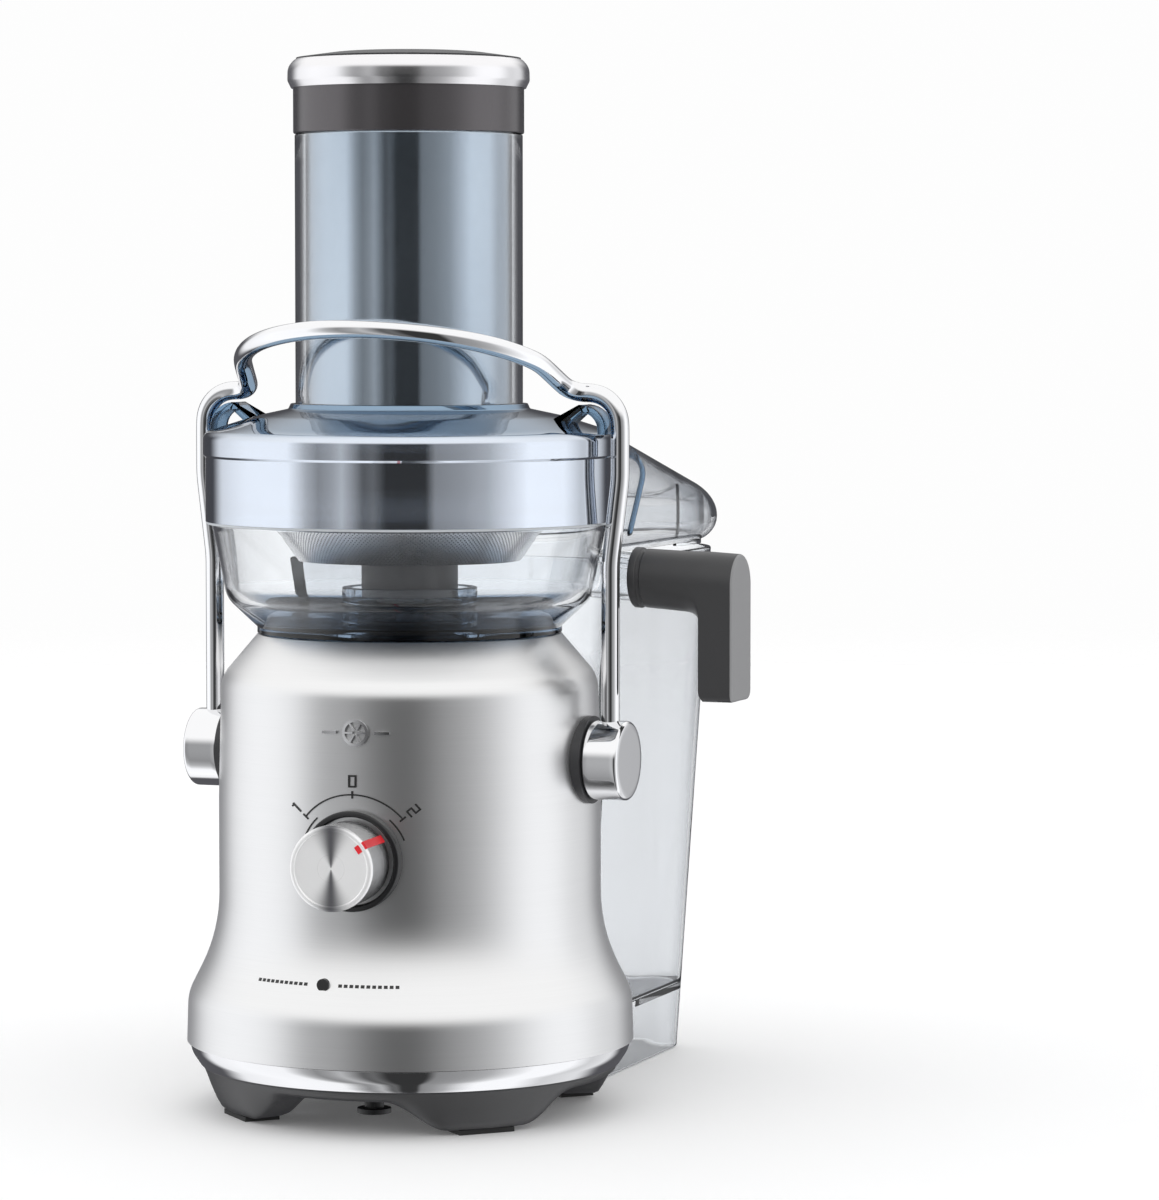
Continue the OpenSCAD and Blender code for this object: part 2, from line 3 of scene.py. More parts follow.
import bmesh
import bpy
import numpy as np
from bpy.props import FloatProperty, FloatVectorProperty, IntProperty, PointerProperty
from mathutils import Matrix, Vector


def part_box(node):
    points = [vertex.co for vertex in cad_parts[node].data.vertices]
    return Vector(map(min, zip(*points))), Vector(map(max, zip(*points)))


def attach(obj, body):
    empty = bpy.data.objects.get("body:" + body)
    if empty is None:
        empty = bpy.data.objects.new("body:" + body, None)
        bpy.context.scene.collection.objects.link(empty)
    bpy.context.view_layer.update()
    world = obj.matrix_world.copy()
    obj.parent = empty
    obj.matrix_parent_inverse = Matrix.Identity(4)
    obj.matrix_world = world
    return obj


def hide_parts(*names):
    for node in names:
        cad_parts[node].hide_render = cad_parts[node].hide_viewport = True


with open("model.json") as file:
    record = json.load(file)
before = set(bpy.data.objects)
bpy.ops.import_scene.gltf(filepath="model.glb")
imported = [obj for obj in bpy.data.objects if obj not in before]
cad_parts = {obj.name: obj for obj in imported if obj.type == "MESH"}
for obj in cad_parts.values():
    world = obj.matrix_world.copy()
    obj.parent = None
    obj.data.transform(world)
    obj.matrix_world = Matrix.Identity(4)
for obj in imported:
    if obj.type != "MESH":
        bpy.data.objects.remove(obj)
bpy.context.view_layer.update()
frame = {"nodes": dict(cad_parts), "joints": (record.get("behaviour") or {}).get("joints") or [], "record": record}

bl_info = {
    "name": "Centrifugal Juicer",
    "version": (1, 0, 0),
    "blender": (4, 5, 0),
    "location": "View3D > Sidebar > Juicer",
    "description": "Builds the finished surfaces of a whole-fruit juicer round its CAD frame",
    "category": "Object",
}

MM = 0.001


# ---------------------------------------------------------------------------------------------
# Places read from the frame, in millimetres from the spindle's foot on the counter

def node_box(name):
    """Lowest and highest corner of a CAD node in the row frame, in millimetres."""
    lo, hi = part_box(name)
    return np.array(lo) / MM, np.array(hi) / MM


SHAFT_LO, SHAFT_HI = node_box("rotor_shaft")
SPINDLE = np.array([(SHAFT_LO[0] + SHAFT_HI[0]) / 2, (SHAFT_LO[1] + SHAFT_HI[1]) / 2, 0.0])


def local_box(name):
    """A CAD node's corners measured from the spindle, in millimetres."""
    lo, hi = node_box(name)
    return lo - SPINDLE, hi - SPINDLE


def joint(name):
    return next(j for j in frame["joints"] if j["name"] == name)


PIVOT_Z = joint("arm_swing")["pos_m"][2] / MM
DIAL_AXIS = np.array(joint("dial_turn")["axis"])
DIAL_Z = joint("dial_turn")["pos_m"][2] / MM
SPOUT_AXIS = np.array(joint("nozzle_pull")["axis"])
SPOUT_START = np.array([75.0, 22.0, 222.0])   # on the spout's axis, inside the bowl
DIAL_REACH = 108.0                             # from the spindle to the dial's face
COVER_SKIRT = 85.5                             # radius that the hood starts on
BOWL_RADIUS = 81.7
WELD, SLIVER = 1e-6, 1e-7                      # distances in metres at which a mesh is merged


# ---------------------------------------------------------------------------------------------
# Outlines and grids, worked out as whole arrays

def unit(v):
    v = np.asarray(v, float)
    return v / np.linalg.norm(v, axis=-1, keepdims=True)


def arc_corner(before, at, after, radius, steps):
    """Arc that rounds the corner at a point: the slerp of two radii about the centre on the
    corner's bisector, radius / sin(half angle) away."""
    u, v = unit(before - at), unit(after - at)
    half = np.arccos(np.clip(np.dot(u, v), -1, 1)) / 2
    sweep = np.pi - 2 * half
    centre = at + unit(u + v) * radius / np.sin(half)
    a = at + u * radius / np.tan(half) - centre
    b = at + v * radius / np.tan(half) - centre
    t = np.linspace(0, 1, steps + 1)[:, None]
    return centre + (a * np.sin(sweep * (1 - t)) + b * np.sin(sweep * t)) / np.sin(sweep)


def rounded(*corners, steps=8):
    """Open line through corners, each (coordinates..., radius), its corners rounded to that
    radius. Works in two or three dimensions."""
    c = np.array(corners, float)
    pts, radii = c[:, :-1], c[:, -1]
    parts = []
    for i, radius in enumerate(radii):
        if radius == 0:
            parts.append(pts[i:i + 1])
        else:
            parts.append(arc_corner(pts[i - 1], pts[i], pts[(i + 1) % len(pts)], radius, steps))
    return np.concatenate(parts)


def refined(line, longest):
    """The same line with every stretch cut into equal steps no longer than longest."""
    parts = [line[:1]]
    for a, b in zip(line[:-1], line[1:]):
        n = max(1, int(np.ceil(np.linalg.norm(b - a) / longest)))
        parts.append(a + (b - a) * (np.arange(1, n + 1) / n)[:, None])
    return np.concatenate(parts)


def turned(profile, around):
    """Surface of revolution: row i, column j is (r_i cos a_j, r_i sin a_j, z_i)."""
    a = np.linspace(0, 2 * np.pi, around, endpoint=False)
    r, z = np.asarray(profile, float).T
    return np.stack([np.outer(r, np.cos(a)), np.outer(r, np.sin(a)),
                     np.repeat(z[:, None], around, axis=1)], axis=-1)


def on_axis(grid, origin, axis):
    """Moves a grid whose z runs along its own axis so that z runs along axis from origin, with
    its y as near upward as it can be."""
    w = unit(axis)
    u = unit(np.cross([0.0, 0.0, 1.0], w))
    v = np.cross(w, u)
    return np.asarray(origin, float) + grid @ np.stack([u, v, w])


def carried_frames(line):
    """Tangents and two normals at each point; each normal is the one before it with its part
    along the new tangent taken away."""
    t = unit(np.gradient(line, axis=0))
    n = np.zeros_like(line)
    n[0] = unit(np.cross(t[0], [1.0, 0.2, 0.1]))
    for i in range(1, len(line)):
        n[i] = unit(n[i - 1] - np.dot(n[i - 1], t[i]) * t[i])
    return t, n, np.cross(t, n)


CAP_STEPS = 4


def swept(line, radius, sides=28):
    """Round tube: ring i is line_i + radius (cos a n_i + sin a b_i), with half-sphere ends."""
    t, n, b = carried_frames(line)
    a = np.linspace(0, 2 * np.pi, sides, endpoint=False)
    ring = np.cos(a)[None, :, None] * n[:, None] + np.sin(a)[None, :, None] * b[:, None]
    body = line[:, None] + radius * ring
    cap = np.linspace(np.pi / 2, 0, CAP_STEPS + 2)[1:-1]
    start = [line[0] - t[0] * radius * np.sin(c) + radius * np.cos(c) * ring[0] for c in cap]
    end = [line[-1] + t[-1] * radius * np.sin(c) + radius * np.cos(c) * ring[-1]
           for c in cap[::-1]]
    return np.concatenate([np.array(start), body, np.array(end)])


def piece_from(name, vertices, faces, body, slot, material=None, smooth=40):
    """A mesh object in the frame, its faces turned outwards, riding on a CAD body. It has the
    slot's own finish if no other is given."""
    mesh = bpy.data.meshes.new(name)
    mesh.from_pydata((np.asarray(vertices) + SPINDLE) * MM, [], faces)
    work = bmesh.new()
    work.from_mesh(mesh)
    bmesh.ops.remove_doubles(work, verts=work.verts, dist=WELD)
    bmesh.ops.dissolve_degenerate(work, edges=work.edges, dist=SLIVER)
    bmesh.ops.recalc_face_normals(work, faces=work.faces)
    work.to_mesh(mesh)
    work.free()
    mesh.shade_smooth()
    mesh.set_sharp_from_angle(angle=np.radians(smooth))
    mesh.materials.append(material or CAD_FINISHES[slot]())
    obj = bpy.data.objects.new(name, mesh)
    bpy.context.scene.collection.objects.link(obj)
    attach(obj, body)
    return obj


def grid_faces(rows, columns, wrap_rows=False, wrap_columns=True, start=0):
    """Quads between neighbouring rows and columns of a grid of vertices."""
    i = np.arange(rows if wrap_rows else rows - 1)[:, None]
    j = np.arange(columns if wrap_columns else columns - 1)[None, :]
    ni, nj = (i + 1) % rows, (j + 1) % columns
    quads = np.stack([i * columns + j, i * columns + nj, ni * columns + nj, ni * columns + j], -1)
    return (quads.reshape(-1, 4) + start).tolist()


def closed_loft(grid, wrap_rows=False):
    """Vertices and faces of loops (rows of the grid) joined in turn. The first and last loops
    meet each other if wrap_rows is set, and are closed by a fan to their middle if not."""
    rows, columns = grid.shape[:2]
    vertices = grid.reshape(-1, 3)
    faces = grid_faces(rows, columns, wrap_rows)
    if not wrap_rows:
        vertices = np.concatenate([vertices, [grid[0].mean(0), grid[-1].mean(0)]])
        first, last = rows * columns, rows * columns + 1
        for j in range(columns):
            k = (j + 1) % columns
            faces.append([first, k, j])
            faces.append([last, (rows - 1) * columns + j, (rows - 1) * columns + k])
    return vertices, faces


def joined(parts):
    """Several (vertices, faces) as one."""
    vertices, faces, count = [], [], 0
    for v, f in parts:
        vertices.append(v)
        faces += [[i + count for i in face] for face in f]
        count += len(v)
    return np.concatenate(vertices), faces


def walled(grid, wall):
    """Closed shell round an open sheet: the sheet, and the sheet moved back by wall along its
    normals (the cross product of its two directions), joined round the border."""
    along = np.gradient(grid, axis=0)
    across = np.gradient(grid, axis=1)
    inner = grid - wall * unit(np.cross(along, across))
    rows, columns = grid.shape[:2]
    skin = grid_faces(rows, columns, wrap_columns=False)
    count = rows * columns
    back = [[i + count for i in reversed(face)] for face in skin]
    index = np.arange(count).reshape(rows, columns)
    border = np.concatenate([index[0], index[1:, -1], index[-1, -2::-1], index[-2:0:-1, 0]])
    step = np.roll(border, -1)
    rim = np.stack([border, step, step + count, border + count], -1).tolist()
    return np.concatenate([grid.reshape(-1, 3), inner.reshape(-1, 3)]), skin + back + rim


def cut_away(obj, cutter):
    """Takes the solid cutter out of a finished piece, and deletes the cutter."""
    change = obj.modifiers.new("cut", "BOOLEAN")
    change.operation, change.solver, change.object = "DIFFERENCE", "EXACT", cutter
    bpy.context.view_layer.update()
    done = bpy.data.meshes.new_from_object(obj.evaluated_get(
        bpy.context.evaluated_depsgraph_get()))
    obj.modifiers.remove(change)
    obj.data = done
    bpy.data.objects.remove(cutter)


def turned_piece(name, profile, body, slot, material=None, closed=True, around=None,
                 origin=(0, 0, 0), axis=None):
    """A solid of revolution. A closed profile is a ring; an open one runs from axis to axis."""
    grid = turned(profile, around or shape().around)
    if axis is not None:
        grid = on_axis(grid, origin, axis)
    return piece_from(name, *closed_loft(grid, closed), body, slot, material)


# ---------------------------------------------------------------------------------------------
# Materials

class Term:
    """One output socket, so that shader maths is written as Python expressions."""

    def __init__(self, paint, socket):
        self.paint, self.socket = paint, socket


# Python's five signs, each with the term on its left or on its right
for sign, kind in (("add", "ADD"), ("sub", "SUBTRACT"), ("mul", "MULTIPLY"),
                   ("truediv", "DIVIDE"), ("pow", "POWER")):
    setattr(Term, f"__{sign}__",
            lambda self, other, kind=kind: self.paint.math(kind, self, other))
    setattr(Term, f"__r{sign}__",
            lambda self, other, kind=kind: self.paint.math(kind, other, self))


class Paint:
    """A node tree that terms are worked out in."""

    def __init__(self, tree):
        self.tree = tree
        self.tree.nodes.clear()

    def node(self, kind, settings=None, *values, out=0, **named):
        """Adds a node, sets its settings first and then its sockets, by order or by name (with
        _ for a space), and returns the output out as a Term."""
        made = self.tree.nodes.new(kind)
        for key, value in (settings or {}).items():
            if key == "stops":
                ramp = made.color_ramp
                while len(ramp.elements) < len(value):
                    ramp.elements.new(0.5)
                for element, (place, colour) in zip(ramp.elements, value):
                    element.position = place
                    element.color = (*colour, 1.0)
            else:
                setattr(made, key, value)
        for key, value in [*enumerate(values),
                           *((k.replace("_", " "), v) for k, v in named.items())]:
            if isinstance(value, Term):
                self.tree.links.new(value.socket, made.inputs[key])
            else:
                made.inputs[key].default_value = value
        return Term(self, made.outputs[out])

    def math(self, operation, *values):
        return self.node("ShaderNodeMath", {"operation": operation}, *values)

    def step(self, value, start, end):
        """A smooth step: 0 where value is start and 1 where it is end."""
        return self.node("ShaderNodeMapRange", {"interpolation_type": "SMOOTHSTEP"}, value,
                         start, end, 0.0, 1.0)

    def place(self):
        """Object coordinates, which are metres in the frame."""
        return self.node("ShaderNodeTexCoord", out="Object")

    def about(self, origin, turn=(0, 0, 0), scale=(1, 1, 1)):
        """Object coordinates measured from a point (in millimetres from the spindle's foot), in
        millimetres, turned and scaled."""
        centre = (SPINDLE + np.asarray(origin)) * MM
        moved = self.node("ShaderNodeVectorMath", {"operation": "SUBTRACT"}, self.place(),
                          tuple(centre))
        return self.node("ShaderNodeMapping", {"vector_type": "POINT"}, moved,
                         Rotation=turn, Scale=tuple(s / MM for s in scale))

    def split(self, vector):
        """The three numbers of a vector."""
        made = self.tree.nodes.new("ShaderNodeSeparateXYZ")
        self.tree.links.new(vector.socket, made.inputs[0])
        return [Term(self, s) for s in made.outputs]

    def noise(self, vector, scale, detail=2.0, roughness=0.5):
        return self.node("ShaderNodeTexNoise", None, vector, Scale=scale, Detail=detail,
                         Roughness=roughness)

    def between(self, amount, low, high):
        """A colour that is low where amount is 0 and high where it is 1."""
        made = self.tree.nodes.new("ShaderNodeMix")
        made.data_type = "RGBA"
        self.tree.links.new(amount.socket, made.inputs["Factor"])
        for name, value in (("A", low), ("B", high)):
            socket = next(s for s in made.inputs if s.name == name and s.type == "RGBA")
            if isinstance(value, Term):
                self.tree.links.new(value.socket, socket)
            else:
                socket.default_value = (*value, 1.0)
        return Term(self, next(s for s in made.outputs if s.type == "RGBA"))

    def bump(self, height, distance, strength=1.0):
        return self.node("ShaderNodeBump", None, Height=height, Distance=distance,
                         Strength=strength)

    def surface(self, colour, **sockets):
        """The finished shader. Colour is a Term or three numbers; other sockets by name."""
        made = self.tree.nodes.new("ShaderNodeBsdfPrincipled")
        end = self.tree.nodes.new("ShaderNodeOutputMaterial")
        self.tree.links.new(made.outputs[0], end.inputs[0])
        for name, value in {"Base_Color": colour, **sockets}.items():
            socket = made.inputs[name.replace("_", " ")]
            if isinstance(value, Term):
                self.tree.links.new(value.socket, socket)
            elif socket.type == "RGBA":
                socket.default_value = (*value, 1.0)
            else:
                socket.default_value = value


MATERIALS = {}


def finish(name):
    """A new material called name and its paint, or None for the paint if it is there already."""
    if name in MATERIALS:
        return MATERIALS[name], None
    material = bpy.data.materials.new(name)
    material.use_nodes = True
    MATERIALS[name] = material
    return material, Paint(material.node_tree)


def brushed_steel(name, colour, rough=0.33, coarse=1.0):
    """Sheet steel brushed round the spindle: fine level lines in height and roughness. Coarse
    is the height of a line against that of the shell's."""
    material, p = finish(name)
    if p:
        x, y, z = p.split(p.about((0, 0, 0)))
        angle = p.math("ARCTAN2", y, x)
        line = p.node("ShaderNodeCombineXYZ", None, angle * 1.6, z * (2.6 / coarse), 0.0)
        fine = p.noise(line, 1.0, 3.0, 0.7)
        broad = p.noise(p.node("ShaderNodeCombineXYZ", None, angle * 0.7, z * 0.35, 4.0), 1.0)
        tone = p.between(fine * 0.8 + broad * 0.2, tuple(c * 0.95 for c in colour),
                         tuple(c * 1.05 for c in colour))
        p.surface(tone, Metallic=1.0, Roughness=fine * 0.06 + (rough - 0.03),
                  Normal=p.bump(fine, 0.00002, 0.3), Anisotropic=0.4)
    return material


def polished(name, colour, rough=0.06):
    """Plated metal: bright, with faint wipe marks in its roughness."""
    material, p = finish(name)
    if p:
        wipe = p.noise(p.about((0, 0, 0), scale=(0.05, 0.05, 0.2)), 1.0, 3.0)
        p.surface(colour, Metallic=1.0, Roughness=wipe * 0.06 + (rough - 0.03))
    return material


def spun(name, origin, axis, colour=(0.8, 0.8, 0.81), rough=0.2, face=None):
    """Turned metal: rings about an axis through origin, in height and roughness. Beyond the height face along the
    axis, the turned end's colour is a painted sheen: white, with two painted dark wedges of reflection above and
    below its middle, standing in for the sheen of a spun disc. A wedge's depth is the share of the squared
    distance that is upright, to the 7th power."""
    material, p = finish(name)
    if p:
        w = Vector(axis).normalized()
        turn = w.rotation_difference(Vector((0, 0, 1)))
        x, y, z = p.split(p.about(origin, turn=tuple(turn.to_euler())))
        away = (x * x + y * y) ** 0.5
        rings = p.noise(p.node("ShaderNodeCombineXYZ", None, away * 3.0, z * 3.0, 0.0), 1.0, 2.0)
        tone, gloss, metal = colour, rings * 0.1 + (rough - 0.05), 1.0
        if face:
            # Painted sheen: on the end face the colour runs from white at the sides to dark in two wedges above
            # and below the middle, a painted reflection of a spun disc
            up = (turn @ Vector((0, 0, 1))).to_2d().normalized()
            tall = x * up.x + y * up.y
            end = p.math("GREATER_THAN", z, face)
            painted_sheen_wedge = (tall * tall / (away * away + 0.01)) ** 7.0 * end
            painted_sheen_colour = p.between(painted_sheen_wedge, (1.0, 1.0, 1.0), (0.12, 0.12, 0.13))
            tone = p.between(end, colour, painted_sheen_colour)
            gloss = gloss + end * 0.1
            metal = 1.0 - end * 0.6
        p.surface(tone, Metallic=metal, Roughness=gloss, Normal=p.bump(rings, 0.00012, 0.7),
                  Anisotropic=0.6)
    return material


ALONG_WALL = (0.004, 0.02, 0.055)   # colour of clear plastic that is seen along its wall


def clear_plastic(name, pale, mirror=0.0, rough=0.012, deep=None):
    """Polished moulded plastic, pale where it is seen square on and dark blue where it is seen
    along its wall, with a slight unevenness of that wall. Deep is a height where the wall is
    thin, a height where it has grown thick, and the colour of the thick part."""
    material, p = finish(name)
    if p:
        ripple = p.noise(p.about((0, 0, 0), scale=(0.025, 0.025, 0.012)), 1.0, 1.0)
        slant = p.node("ShaderNodeLayerWeight", None, Blend=0.5, out="Facing")
        if deep:
            thin, thick, colour = deep
            _, _, z = p.split(p.about((0, 0, 0)))
            pale = p.between(p.step(z, thin, thick), pale, colour)
        p.surface(p.between(slant ** 3.0, pale, ALONG_WALL), Roughness=ripple * 0.02 + rough,
                  Transmission_Weight=1.0, IOR=1.46, Metallic=mirror,
                  Normal=p.bump(ripple, 0.0006, 0.25))
    return material


def tinted_plastic():
    """The same plastic where it is thick or seen through its length, and so dark blue."""
    return clear_plastic("tinted_plastic", tuple(shape().thick))


def cover_plastic():
    """The cover's plastic, which mirrors more of the room than the rest."""
    shoulder, top = local_box("cover")[1][2] - [13.0, 9.5]
    return clear_plastic("cover_plastic", (0.82, 0.88, 0.97), mirror=0.84, rough=0.03,
                         deep=(shoulder, top, (0.3, 0.42, 0.55)))


def bowl_plastic():
    """The bowl's plastic, thick and dark blue at its foot."""
    wall, floor = local_box("juice_bowl")[0][2] + [13.0, 5.0]
    return clear_plastic("bowl_plastic", tuple(shape().clear),
                         deep=(wall, floor, (0.22, 0.3, 0.4)))


def collar_plastic():
    """Dark metallic-flake plastic of the pusher's collar, with a satin gloss."""
    material, p = finish("collar_plastic")
    if p:
        fleck = p.noise(p.about((0, 0, 0)), 5.0, 2.0, 0.7)
        p.surface(p.between(fleck, (0.09, 0.085, 0.09), (0.15, 0.14, 0.145)), Metallic=0.7,
                  Roughness=fleck * 0.08 + 0.18, Normal=p.bump(fleck, 0.00001, 0.4))
    return material


def nozzle_plastic():
    """Dark moulded plastic whose outer end face is painted paler: painted light, standing in for the light falling
    on that flat face.
    """
    material, p = finish("nozzle_plastic")
    skin = 0.9
    if p:
        fine = p.noise(p.about((0, 0, 0)), 2.4, 3.0, 0.6)
        x, _, _ = p.split(p.about((local_box("nozzle")[1][0] - skin, 0, 0)))
        # Painted light: the band within skin of the outer end face is painted pale grey, as if lit by the light
        # falling on it
        outer = p.math("GREATER_THAN", x, 0.0)
        p.surface(p.between(outer, (0.045, 0.045, 0.047), (0.26, 0.26, 0.265)),
                  Roughness=fine * 0.1 + 0.35, Normal=p.bump(fine, 0.00005, 0.6))
    return material


def smoked_plastic():
    """Smoky blue glossy plastic of the pusher, unevenly deep."""
    material, p = finish("smoked_clear")
    if p:
        ripple = p.noise(p.about((0, 0, 0), scale=(0.03, 0.03, 0.006)), 1.0, 1.0)
        p.surface(p.between(ripple, (0.31, 0.375, 0.44), (0.57, 0.64, 0.71)), Metallic=0.95,
                  Roughness=ripple * 0.05 + 0.05)
    return material


def moulded(name, colour, rough=0.42, grain=0.00006):
    """Dark or light moulded plastic with a fine spark-eroded grain."""
    material, p = finish(name)
    if p:
        fine = p.noise(p.about((0, 0, 0)), 2.4, 3.0, 0.6)
        broad = p.noise(p.about((0, 0, 0), scale=(0.03, 0.03, 0.03)), 1.0, 2.0)
        tone = p.between(broad, tuple(c * 0.88 for c in colour), tuple(c * 1.12 for c in colour))
        p.surface(tone, Roughness=broad * 0.1 + (rough - 0.05), Normal=p.bump(fine, grain, 0.6))
    return material


def filter_steel():
    """Etched stainless mesh: rows of tiny holes that are seen as dark dots on a bright sheet."""
    material, p = finish("filter_steel")
    waves_round, waves_up = 180.0, 4.2
    if p:
        x, y, z = p.split(p.about((0, 0, 0)))
        angle = p.math("ARCTAN2", y, x)
        u = p.math("SINE", angle * waves_round)
        v = p.math("SINE", z * waves_up)
        hole = p.math("GREATER_THAN", u * v, 0.45)
        p.surface(p.between(hole, (0.66, 0.66, 0.67), (0.07, 0.07, 0.075)),
                  Metallic=1.0 - hole * 0.7, Roughness=hole * 0.3 + 0.22,
                  Normal=p.bump(1.0 - hole, 0.0002, 0.6))
    return material


# Colour, roughness and, where it is given, height of the grain in metres
MOULDED = {
    "cast_aluminium": ((0.5, 0.51, 0.52), 0.5, 0.0002),
    "rubber": ((0.02, 0.02, 0.02), 0.75, 0.0001),
    "silicone": ((0.6, 0.63, 0.66), 0.5),
    "carbon": ((0.03, 0.03, 0.03), 0.6),
    "board_green": ((0.03, 0.2, 0.09), 0.35),
    "component": ((0.08, 0.12, 0.35), 0.3),
    "white_nylon": ((0.8, 0.78, 0.73), 0.45),
    "drive_plastic": ((0.06, 0.06, 0.065), 0.4),
    "dark_plastic": ((0.04, 0.04, 0.043), 0.42),
    "black_print": ((0.02, 0.02, 0.02), 0.35, 0.00001),
    "red_pointer": ((0.75, 0.02, 0.03), 0.25, 0.00001),
}

# Maker of the finish of each material slot
CAD_FINISHES = {
    "machined_steel": lambda: brushed_steel("machined_steel", (0.55, 0.55, 0.56), 0.3, 2.0),
    "copper": lambda: spun("copper_wire", (0, 0, 100), (0, 0, 1), (0.72, 0.36, 0.2), 0.3),
    "filter_steel": filter_steel,
    "clear_plastic": lambda: clear_plastic("clear_plastic", tuple(shape().clear)),
    "smoked_clear": smoked_plastic,
    "brushed_steel": lambda: brushed_steel("shell_steel", tuple(shape().steel)),
    "bright_trim": lambda: polished("bright_trim", (0.82, 0.82, 0.83)),
    "arm_chrome": lambda: polished("arm_chrome", (0.86, 0.86, 0.87), 0.05),
    "spun_aluminium": lambda: spun("dial_metal", (0, 0, DIAL_Z), DIAL_AXIS, face=DIAL_REACH - 1.5),
    **{name: lambda name=name: moulded(name, *MOULDED[name]) for name in MOULDED},
}


# ---------------------------------------------------------------------------------------------
# Sizes and colours that a user would change

class JuicerShape(bpy.types.PropertyGroup):
    """Sizes of the finished surfaces in millimetres, and their main colours"""
    wall: FloatProperty(name="Clear wall", description="Thickness of the clear walls in mm",
                        default=2.5, min=1.5, max=4.0)
    sheet: FloatProperty(name="Steel sheet", description="Thickness of the shell in mm",
                         default=1.2, min=0.6, max=2.0)
    rod: FloatProperty(name="Rod", description="Diameter of the arm's rod in mm",
                       default=7.6, min=6.0, max=8.0)
    around: IntProperty(name="Steps round", description="Steps round each turned surface",
                        default=192, min=48, max=384)
    steel: FloatVectorProperty(name="Steel", description="Colour of the brushed shell",
                               subtype="COLOR", default=(0.84, 0.84, 0.84))
    clear: FloatVectorProperty(name="Clear plastic", description="Colour of thin clear walls",
                               subtype="COLOR", default=(0.97, 0.985, 1.0))
    thick: FloatVectorProperty(name="Thick plastic", description="Colour of thick clear ribs",
                               subtype="COLOR", default=(0.16, 0.27, 0.4))


class JuicerStage(bpy.types.PropertyGroup):
    """Camera, floor and light"""
    lens: FloatProperty(name="Lens", description="Focal length in mm", default=144.0)
    camera_turn: FloatProperty(name="Camera turn", subtype="ANGLE",
                               description="Turn of the camera to the right of the front",
                               default=float(np.radians(22)))
    camera_away: FloatProperty(name="Camera distance", unit="LENGTH",
                               description="Level distance from the spindle", default=1.988)
    camera_height: FloatProperty(name="Camera height", unit="LENGTH",
                                 description="Height above the counter", default=0.335)
    camera_tilt: FloatProperty(name="Camera tilt", subtype="ANGLE",
                               description="Tilt of the camera above level",
                               default=float(np.radians(-3.576)))
    camera_aside: FloatProperty(name="Camera aside", subtype="ANGLE",
                                description="Turn of the view to the right of the spindle",
                                default=float(np.radians(2.029)))
    floor: FloatVectorProperty(name="Floor", subtype="COLOR", default=(0.96, 0.96, 0.962),
                               description="Colour of the floor")
    backdrop: FloatProperty(name="Backdrop", description="Brightness behind the juicer",
                            default=0.985, min=0.0, max=2.0)


def shape():
    return bpy.context.scene.juicer_shape


def stage():
    return bpy.context.scene.juicer_stage


class Maker(bpy.types.Operator):
    """Base of the operators that make a group of pieces"""
    bl_options = {"REGISTER", "UNDO"}

    def execute(self, context):
        self.make()
        return {"FINISHED"}


# ---------------------------------------------------------------------------------------------
# Motor base

def shell_line(grow):
    """Side of the steel shell in (radius, height): level foot, flare, waist and shoulder."""
    (_, _, foot), (wide, _, top) = local_box("outer_shell")
    wide, waist, neck = wide + grow, 79.3 + grow, 61.6 + grow
    return rounded((wide, foot, 0), (wide - 0.6, 48, 19), (waist, 73.8, 70), (waist, 130, 0),
                   (waist - 1.2, top - 18.5, 14), (neck + 1.3, top - 0.6, 0.8), (neck, top, 0))


